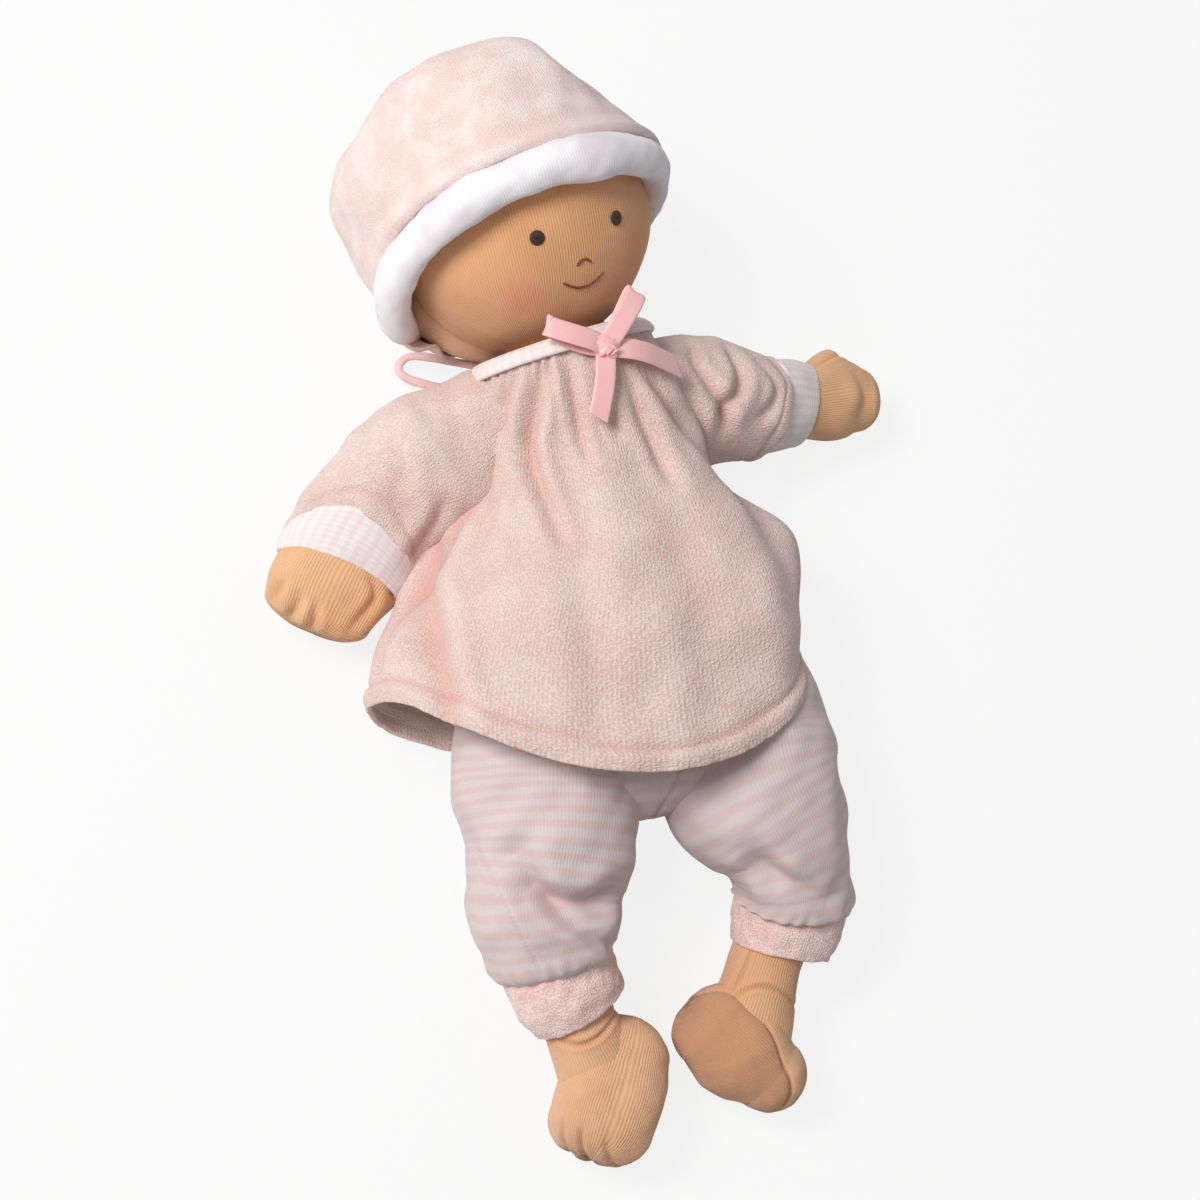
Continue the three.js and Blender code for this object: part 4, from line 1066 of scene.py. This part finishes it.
handSet = {"square": 2.35, "groove": 0.7, "sewnFrom": 2.2, "waves": ((0.35, 18, 51),), "girth": 104}


def makeHand(side, own, s):
    # A mitten on an arm: ovals to the fingertips with a thumb drawn out at one side, sewn round its edge
    grid, t, turn = domed(own["hand"], 190, 220, own["domes"], square=s["square"])
    base, push, width = own["thumb"]
    grid = grid + bell(np.linalg.norm(grid - base, axis=-1), width)[..., None] * push
    height, creaseShade = drawn(grid, own["tucks"])
    sewn = bell(np.sin(turn) + 0.1, 0.035) * (t > s["sewnFrom"])
    grid = raised(grid, height - s["groove"] * sewn + waves(grid, s["waves"]))
    # painted shade along the sewn edge's groove and in the tucks
    marks = {"seam": np.clip(0.5 * sewn + creaseShade, 0, 0.8)}
    stands = [f"{side}_arm_front_panel", f"{side}_arm_back_panel", f"{side}_arm_filling"]
    piece = stuffed(f"{side}_hand", grid, finishes["skin"], stands, marks, girth=s["girth"])
    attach(piece, f"{side}_arm")


# edge: ridges up from the sleeve's edge. blend: how far from the shoulder it starts and ends.
sleeveSet = {"wall": 1.4, "waves": ((0.9, 34, 61), (0.45, 13, 62)), "floor": 1.2, "blend": (-14.0, 12.0),
             "edge": ((-0.6, 0.5, 0.08), (0.5, 0.18, 0.2), (-0.8, 0, 0.06)),
             "cuffWall": 2.0, "cuffWaves": ((0.4, 14, 63),), "cuffPuff": 0.9, "cuffSunk": 0.4,
             "cuffUnder": 0.12}


def makeSleeve(side, own, s):
    # Ovals from the neckline down the arm, creased where it bends, then the jersey cuff from edge to edge
    cols = 230
    turn = circle(cols)
    inner, outer, innerBack, outerBack, lean = own["cuff"]
    front = (0.5 + 0.5 * np.sin(turn)) ** 2
    end = inner - innerBack * front + lean * np.cos(turn)
    edge = outer - outerBack * front + lean * np.cos(turn)
    grid, t, _ = openTube(own["sleeve"], 0.0, end[None, :], 170, cols)
    # fold carries painted shade in the creases and along the groove by the edge
    height, fold = drawn(grid, own["lines"])
    drop = end[None, :] - t
    height += waves(grid, s["waves"])
    height += ridges(drop, s["edge"])
    fold += 0.25 * bell(drop - 0.5, 0.06)
    piece = garment(f"{side}_sleeve_cloth", onFloor(raised(grid, height), s["floor"]), s["wall"],
                    finishes["smock"], (f"{side}_sleeve",), {"fold": np.clip(fold, 0, 0.85)})
    middle = np.array(own["shoulder"])
    way = unit(np.array([middle[0], 0, 0]))
    start, stop = (tuple((middle + way * reach) * mm) for reach in s["blend"])
    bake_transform(piece)
    cuff, t, _ = openTube(own["sleeve"], end[None, :] - s["cuffUnder"], edge[None, :], 44, cols)
    share = (t - end[None, :]) / (edge - end)[None, :]
    cuff = raised(cuff, waves(cuff, s["cuffWaves"]) + s["cuffPuff"] * bell(share - 0.5, 0.5) - s["cuffSunk"])
    band = garment(f"{side}_cuff_band", onFloor(cuff, s["floor"]), s["cuffWall"], finishes["cuff"],
                   (f"{side}_sleeve_cuff",), {"fold": 0, "seam": 0})
    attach(band, f"{side}_arm")


for side in ("right", "left"):
    makeHand(side, armSet[side], handSet)
    makeSleeve(side, armSet[side], sleeveSet)
print("arms")

# Legs: feet, trousers and their cuffs

# legs: length, heading and rise of thigh, shin and foot. foot: where the toes head. sole: the way it faces,
# and soleAt how far it lies from the foot's middle. trouser: ovals x y z a b from the waist to the cuff's
# lower edge, the last two the cuff's edges. lines, seams and ankleSeams: creases as before.
legSet = {
    "right": {
        "hip": (-33.0, -58.0, 32.5), "legs": ((40.0, 251.6, 5.3), (41.0, 282, -17), (25.0, 286, -10)),
        "foot": 240.6, "sole": (0.5, -0.35, -0.79), "soleAt": 7.5, "taper": 0.97, "square": 2.7,
        "slide": (1.5, -1.0, 0.0), "pinch": 0.8, "heel": 0.88,
        "trouser": ((-22, 2, 36.5, 25, 33), (-24, -18, 36.5, 26.5, 33.5), (-32, -40, 35, 31, 32),
                    (-35.5, -58, 34, 31.5, 30.5), (-39.3, -77, 34.5, 28, 28.5), (-43.6, -93, 33, 26.6, 23.5),
                    (-43.6, -107, 30.5, 23.4, 19.5), (-41.8, -119, 28, 18.2, 16),
                    (-36.5, -131, 24.5, 16.4, 14.5)),
        "lines": ((((-57, -80), (-53, -92), (-44, -99), (-33, -100), (-22, -95)), 6.0, 3.8, 0.45),
                  (((-54, -92), (-44, -104), (-34, -111), (-26, -113)), 2.6, 2.8, 0.2),
                  (((-60, -88), (-55, -100), (-43, -113), (-38, -118)), 1.6, 2.2, 0.15)),
        "seams": ((((-66, -60), (-66, -78), (-60, -99), (-54, -114), (-52, -118)), 0.5, 0.6, 0.5),),
        "ankleSeams": ((((-47, -140), (-42, -143), (-34, -141), (-24, -133)), 1.0, 0.8, 0.6),),
    },
    "left": {
        "hip": (33.0, -58.0, 32.5), "legs": ((40.0, 293, 10), (41.0, 244, -22), (31.0, 236, -7)),
        "foot": 308.0, "sole": (-0.7, -0.29, 0.65), "soleAt": 4.0, "taper": 0.7, "square": 2.15,
        "slide": (4.2, -1.6, 0.0), "pinch": 0.0, "heel": 0.9,
        "trouser": ((22, 2, 36.5, 25, 33), (25, -18, 36.5, 26.5, 33.5), (31, -40, 36, 30.5, 32),
                    (33, -58, 38, 32, 30.5), (34.5, -72.5, 41, 31.5, 28), (41, -91, 40, 23.6, 22.5),
                    (43, -104, 35, 20, 19), (41.8, -113, 30, 18.6, 16.3), (37.8, -124.6, 26, 16.2, 14.5)),
        "lines": ((((19, -91), (24, -98), (34, -105), (46, -113)), 2.4, 2.6, 0.25),
                  (((22, -88), (27, -99), (30, -108)), 1.6, 3.0, 0.15),
                  (((66, -60), (58, -80), (62, -100)), 1.2, 4.0, 0.1)),
        "seams": (),
        "ankleSeams": ((((25, -121), (20, -130), (13, -139)), 0.8, 0.7, 0.5),
                       (((13, -139), (22, -136), (29, -138), (40, -146)), 1.0, 0.8, 0.6)),
    },
    "ankle": 12.3, "footLength": 49.0, "footWide": 17.6, "footDeep": 15.5, "toe": 1.1,
    "toeTucks": (-0.45, 0.0, 0.40), "toesFrom": (15.5, 20.5), "tuckDepth": 1.5,
    "footSeam": ((-1.1, 0, 0.75), (0.6, 3, 2.5), (0.35, -3.5, 2.5)),
    "footWaves": ((0.4, 20, 71), (0.15, 6, 73)), "ankleWaves": ((0.3, 16, 72),), "ankleGirth": 78,
}


def legPoints(own):  # hip, knee, ankle and the foot's middle, joined head to tail
    points = [np.array(own["hip"], float)]
    for length, way, rise in own["legs"]:
        points.append(points[-1] + length * heading(way, rise))
    points[-1] = points[-1] + own["slide"]
    return points


def makeFoot(side, s):
    # A puffy foot: ovals from heel to toes, a groove where the sole is sewn on, and tucks between the toes
    own = s[side]
    middle, ahead, sole = legPoints(own)[-1], heading(own["foot"]), unit(np.array(own["sole"]))
    reach, wide, deep, taper = s["footLength"] / 4, s["footWide"], s["footDeep"], own["taper"]
    stops = [[*(middle - ahead * reach), wide * own["heel"], deep * 0.9], [*middle, wide, deep],
             [*(middle + ahead * reach), wide * 1.02 * taper, deep * (0.45 + 0.5 * taper)]]
    grid, _, turn = domed(stops, 150, 240, (reach, reach * s["toe"]), square=own["square"])
    offset = grid - middle
    level, far = offset @ sole - own["soleAt"], offset @ ahead
    off = offset @ unit(np.cross(sole, ahead))
    toes = own["pinch"] * ease(far, *s["toesFrom"]) * ease(-level, -1.0, 3.0)
    toes = toes * sum(bell(off - place * wide, 1.1) for place in s["toeTucks"])
    height = ridges(level, s["footSeam"]) + waves(grid, s["footWaves"]) - s["tuckDepth"] * toes
    # painted shade along the sole's seam and in the toe tucks, and over the sole, which lies in shade
    marks = {"seam": np.clip(0.8 * bell(level, 0.4) + 0.35 * toes, 0, 0.8),
             "blushAndSoleShade": 0.8 * ease(level, -0.5, 0.5)}
    grid = onFloor(raised(grid, height), 1.0)
    mesh = makeMesh(f"{side}_foot", grid, turn * wide, far, marks=marks)
    stands = [f"{side}_foot_upper", f"{side}_foot_sole"]
    foot = addPiece(f"{side}_foot", mesh, finishes["sole"], stands)
    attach(foot, f"{side}_leg")


def makeAnkle(side, s):
    # The knit leg from the thigh down into the foot, with the seam where the foot is sewn on
    def along(a, b, share):
        return a + (b - a) * share

    hip, knee, ankle, middle = legPoints(s[side])
    a = s["ankle"]
    bend = along(knee, along(hip, ankle, 0.5), 0.2)
    stops = [[*along(hip, knee, 0.3), 17, 17], [*bend, a + 1.5, a + 1],
             [*along(knee, ankle, 0.5), a + 0.5, a], [*ankle, a, a],
             [*along(ankle, middle, 0.75), a + 3.5, a]]
    grid = domed(stops, 120, 150, (14, 5))[0]
    seam, creaseShade = drawn(grid, s[side]["ankleSeams"])
    grid = raised(grid, seam + waves(grid, s["ankleWaves"]))
    stands = [f"{side}_leg_skin", f"{side}_leg_filling"]
    # painted shade along the seam where the foot is sewn on
    marks = {"seam": np.clip(creaseShade, 0, 0.8)}
    leg = stuffed(f"{side}_ankle", grid, finishes["sole"], stands, marks, girth=s["ankleGirth"])
    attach(leg, f"{side}_leg")


# edge: ridges up from the trouser's edge. puffs: ridges of the cuff, from where it starts. blend: two places
# along the body, in line with the hip.
trouserSet = {"wall": 1.0, "waves": ((0.9, 34, 81), (0.4, 12, 82)), "floor": 1.2, "blend": (-34.0, -82.0),
              "edge": ((1.8, 0.5, 0.35), (-3.8, 0, 0.24)), "gathers": 19, "gatherDepth": 0.6,
              "cuffWall": 2.2, "cuffWaves": ((0.4, 12, 83), (0.2, 4, 84)), "cuffRaised": 0.9,
              "cuffUnder": 0.4, "puffs": ((-1.6, 0, 0.25), (0.9, 0.9, 0.35))}


def makeTrousers(side, own, s):
    # Ovals from the waist over the hip, puffed over the cuff; each half stops at the middle, where they meet
    sign = -1 if side == "right" else 1
    last, cols = len(own["trouser"]) - 2, 260
    grid, t, turn = openTube(own["trouser"], 0.0, last, 210, cols)
    # fold and the seam's colour carry painted shade in creases, gather hollows and along the seam
    height, fold = drawn(grid, own["lines"])
    sewn, seamShade = drawn(grid, own["seams"])
    drop = last - t
    gathers = np.sin(turn * s["gathers"] + 1.6 * np.sin(turn * 3) + 0.8 * np.sin(turn * 7))
    gathers = gathers * (1 - ease(drop, 0.1, 1.0))
    height += sewn + s["gatherDepth"] * gathers * ease(drop, 0.05, 0.6) + waves(grid, s["waves"])
    height += ridges(drop, s["edge"])
    fold += 0.25 * ease(-gathers, 0.2, 0.9)
    outer = raised(grid, height)
    middle = middleSeam(outer[..., 1])
    outer[..., 0] = middle + sign * soften(sign * (outer[..., 0] - middle), 0.25, 0.8)
    marks = {"fold": np.clip(fold, 0, 0.6), "seam": np.clip(seamShade, 0, 0.7)}
    piece = garment(f"{side}_trouser_half", onFloor(outer, s["floor"]), s["wall"], finishes["trouser"],
                    (f"{side}_trouser_leg",), marks)
    start, end = ((own["hip"][0] * mm, y * mm, own["hip"][2] * mm) for y in s["blend"])
    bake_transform(piece)
    first = last - s["cuffUnder"]
    cuff, t, _ = openTube(own["trouser"], first, last + 1, 66, cols)
    cuff = raised(cuff, s["cuffRaised"] + ridges(t - first, s["puffs"]) + waves(cuff, s["cuffWaves"]))
    band = garment(f"{side}_ankle_band", onFloor(cuff, s["floor"]), s["cuffWall"], finishes["band"],
                   (f"{side}_trouser_cuff",), {"fold": 0})
    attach(band, f"{side}_leg")


for side in ("right", "left"):
    makeFoot(side, legSet)
    makeAnkle(side, legSet)
    makeTrousers(side, legSet[side], trouserSet)

# ovals: x y z a b from its upper edge down
waistSet = {"ovals": ((0, 11, 35.5, 44.5, 33.5), (0, 6, 35.8, 44.8, 33.8), (0, 2, 36, 45, 34)),
            "ribs": 60, "rib": 0.35, "wall": 1.8}


def makeWaistband(s):
    # A flat elastic band round the trunk under the smock
    grid, _, turn = openTube(s["ovals"], 0, 2, 30, 260)
    grid = onFloor(raised(grid, 1.2 + s["rib"] * np.sin(turn * s["ribs"])), 2.2, 0.8)
    band = garment("waist_elastic", grid, s["wall"], finishes["trouser"],
                   ("trouser_waistband",), {"fold": 0, "seam": 0})
    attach(band, "root")


makeWaistband(waistSet)
print("legs and trousers")

# Ribbon bow

# Each length of ribbon: its heading, how its end is cut, its points as heading, reach and rise from the knot
bowSet = {"wide": 7.0, "wall": 0.55, "lengths": {
    "bow_left_loop": (159, 0.0, ((159, 0, 0.5), (159, 6, 2.8), (159, 13, 3.6), (157, 20, 2.6),
                                 (155, 20.6, 0.8), (158, 14, -1.2), (163, 7, -1.4), (165, 0, -0.6))),
    "bow_right_loop": (49, 0.0, ((49, 0, 0.5), (49, 6, 3.2), (49, 13, 4.2), (50, 20, 3.2),
                                 (52, 20.6, 1.4), (50, 14, -0.6), (45, 7, -1.2), (45, 0, -0.6))),
    "bow_down_tail": (256, 0.35, ((256, 0, -0.6), (258, 6, 0.6), (257, 13, 0.2), (255, 19, -0.6),
                                  (254, 24, -1.6))),
    "bow_side_tail": (-13, -0.9, ((-14, 0, -0.6), (-12, 7, 0.4), (-12, 14, -1.4), (-13, 21, -5.4),
                                  (-14, 29, -10.5))),
}}
# Its knot: half sizes, and sewn stitches as x, y and heading, each with its half length and bend
knotSet = {"half": (4.6, 4.0, 2.6), "turn": -38, "lift": 0.6, "stitchLift": 3.1, "stitchHalf": 2.0,
           "bend": 0.9, "thread": 0.28,
           "stitches": ((-1.6, 1.4, -50), (0.2, 0.2, -42), (1.6, -1.2, -55), (2.4, -2.6, 30),
                        (0.6, -2.2, 35))}
collar = neckPoint + neckAxis * 4
knotAt = collar + np.array([5.2, -9.8, 30.6])


def ribbonGrid(path, widthWay, wide, wall, endCut):
    # A flat band carried along a path: an oblong section with rounded edges; endCut slants the last end
    forward = unit(np.gradient(path, axis=0))
    side = unit(widthWay - forward * np.sum(widthWay * forward, -1, keepdims=True))
    face = np.cross(forward, side)
    half = np.linspace(-1, 1, 12)
    x = np.concatenate([half, half[::-1]]) * wide / 2
    z = np.repeat([wall / 2, -wall / 2], 12) * np.sqrt(np.maximum(1 - (np.abs(x) / (wide / 2)) ** 10, 0.02))
    slant = endCut * np.linspace(0, 1, len(path))[:, None] ** 8 * x[None, :]
    grid = path[:, None] + side[:, None] * x[None, :, None] + face[:, None] * z[None, :, None]
    return grid + forward[:, None] * slant[..., None], x


def addRibbon(name, way, endCut, points, s):
    path = smoothPath([knotAt + heading(turn) * reach + upward * rise for turn, reach, rise in points], 90)
    grid, x = ribbonGrid(path, heading(way + 90), s["wide"], s["wall"], endCut)
    edge = ease(np.abs(x), s["wide"] / 2 - 0.7, s["wide"] / 2 - 0.2)
    mesh = makeMesh(name, grid, x, lengths(grid)[:, None], marks={"edge": edge})
    stands = ("ribbon_bow",) if name == "bow_left_loop" else ()
    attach(addPiece(name, mesh, finishes["ribbon"], stands), "root")


def makeKnot(s):
    # A lump of folded ribbon with its stitches
    a = np.linspace(0.03, math.pi - 0.03, 50)[:, None]
    b = circle(70)[None, :]
    wide, tall, deep = s["half"]
    fold = (1 + 0.12 * np.sin(b * 5 + a * 3) + 0.06 * np.sin(b * 11)) * np.sin(a)
    grid = np.stack([wide * fold * np.cos(b), tall * fold * np.sin(b), deep * np.cos(a) + 0 * b], -1)
    grid = grid @ turned("Z", s["turn"]).T + knotAt + upward * s["lift"]
    mesh = makeMesh("bow_knot", grid, b * 4, a * 4, marks={"edge": 0})
    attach(addPiece("bow_knot", mesh, finishes["ribbon"]), "root")
    share = np.linspace(-1, 1, 40)
    bent = (share[:, None] ** 2) * s["bend"] * upward
    for number, (x, y, degrees) in enumerate(s["stitches"]):
        name = f"knot_stitch_{number + 1}"
        path = knotAt + [x, y, s["stitchLift"]] + share[:, None] * s["stitchHalf"] * heading(degrees) - bent
        line = cordGrid(path, s["thread"] * np.sqrt(np.clip(1.05 - share ** 6, 0, 1)), cols=10)
        mesh = makeMesh(name, line, np.arange(10) * 0.2, share[:, None] * 2, marks={"edge": 1})
        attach(addPiece(name, mesh, finishes["ribbon"]), "root")


for ribbonName, ribbonSet in bowSet["lengths"].items():
    addRibbon(ribbonName, *ribbonSet, bowSet)
makeKnot(knotSet)

# Where the tie leaves the neckline and how far its loop's end lies from there, off the floor
tieSet = {"nape": (-9, 0, -26.1), "reach": (-34, 10.5), "tipHeight": 6.0, "radius": 1.5, "flat": 0.62,
          "floor": 2.0}


def makeTie(s):
    # The loop of the jersey tie at the nape: a flat tube along a closed bend that comes out beside the neck
    cols = 24
    nape = collar + s["nape"]
    tip = np.array([nape[0] + s["reach"][0], nape[1] + s["reach"][1], s["tipHeight"]])
    points = [nape, nape + [-14, 5, -5], tip + [6, 1.5, 1], tip, tip + [-0.5, -4, 0], tip + [6, -8, 0],
              nape + [-10, -6, -9]]
    path = smoothPath(points, 160)
    path[:, 2] = np.maximum(path[:, 2], s["floor"])
    grid = cordGrid(path, s["radius"], cols=cols, flat=s["flat"])
    grid = raised(grid, 0.15 * drift(grid, 8, 91))
    mesh = makeMesh("nape_tie", grid, np.arange(cols) * 0.4, lengths(grid)[:, None])
    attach(addPiece("nape_tie", mesh, finishes["tie"], ("neck_tie_loop",)), "root")


makeTie(tieSet)
print("bow and tie")
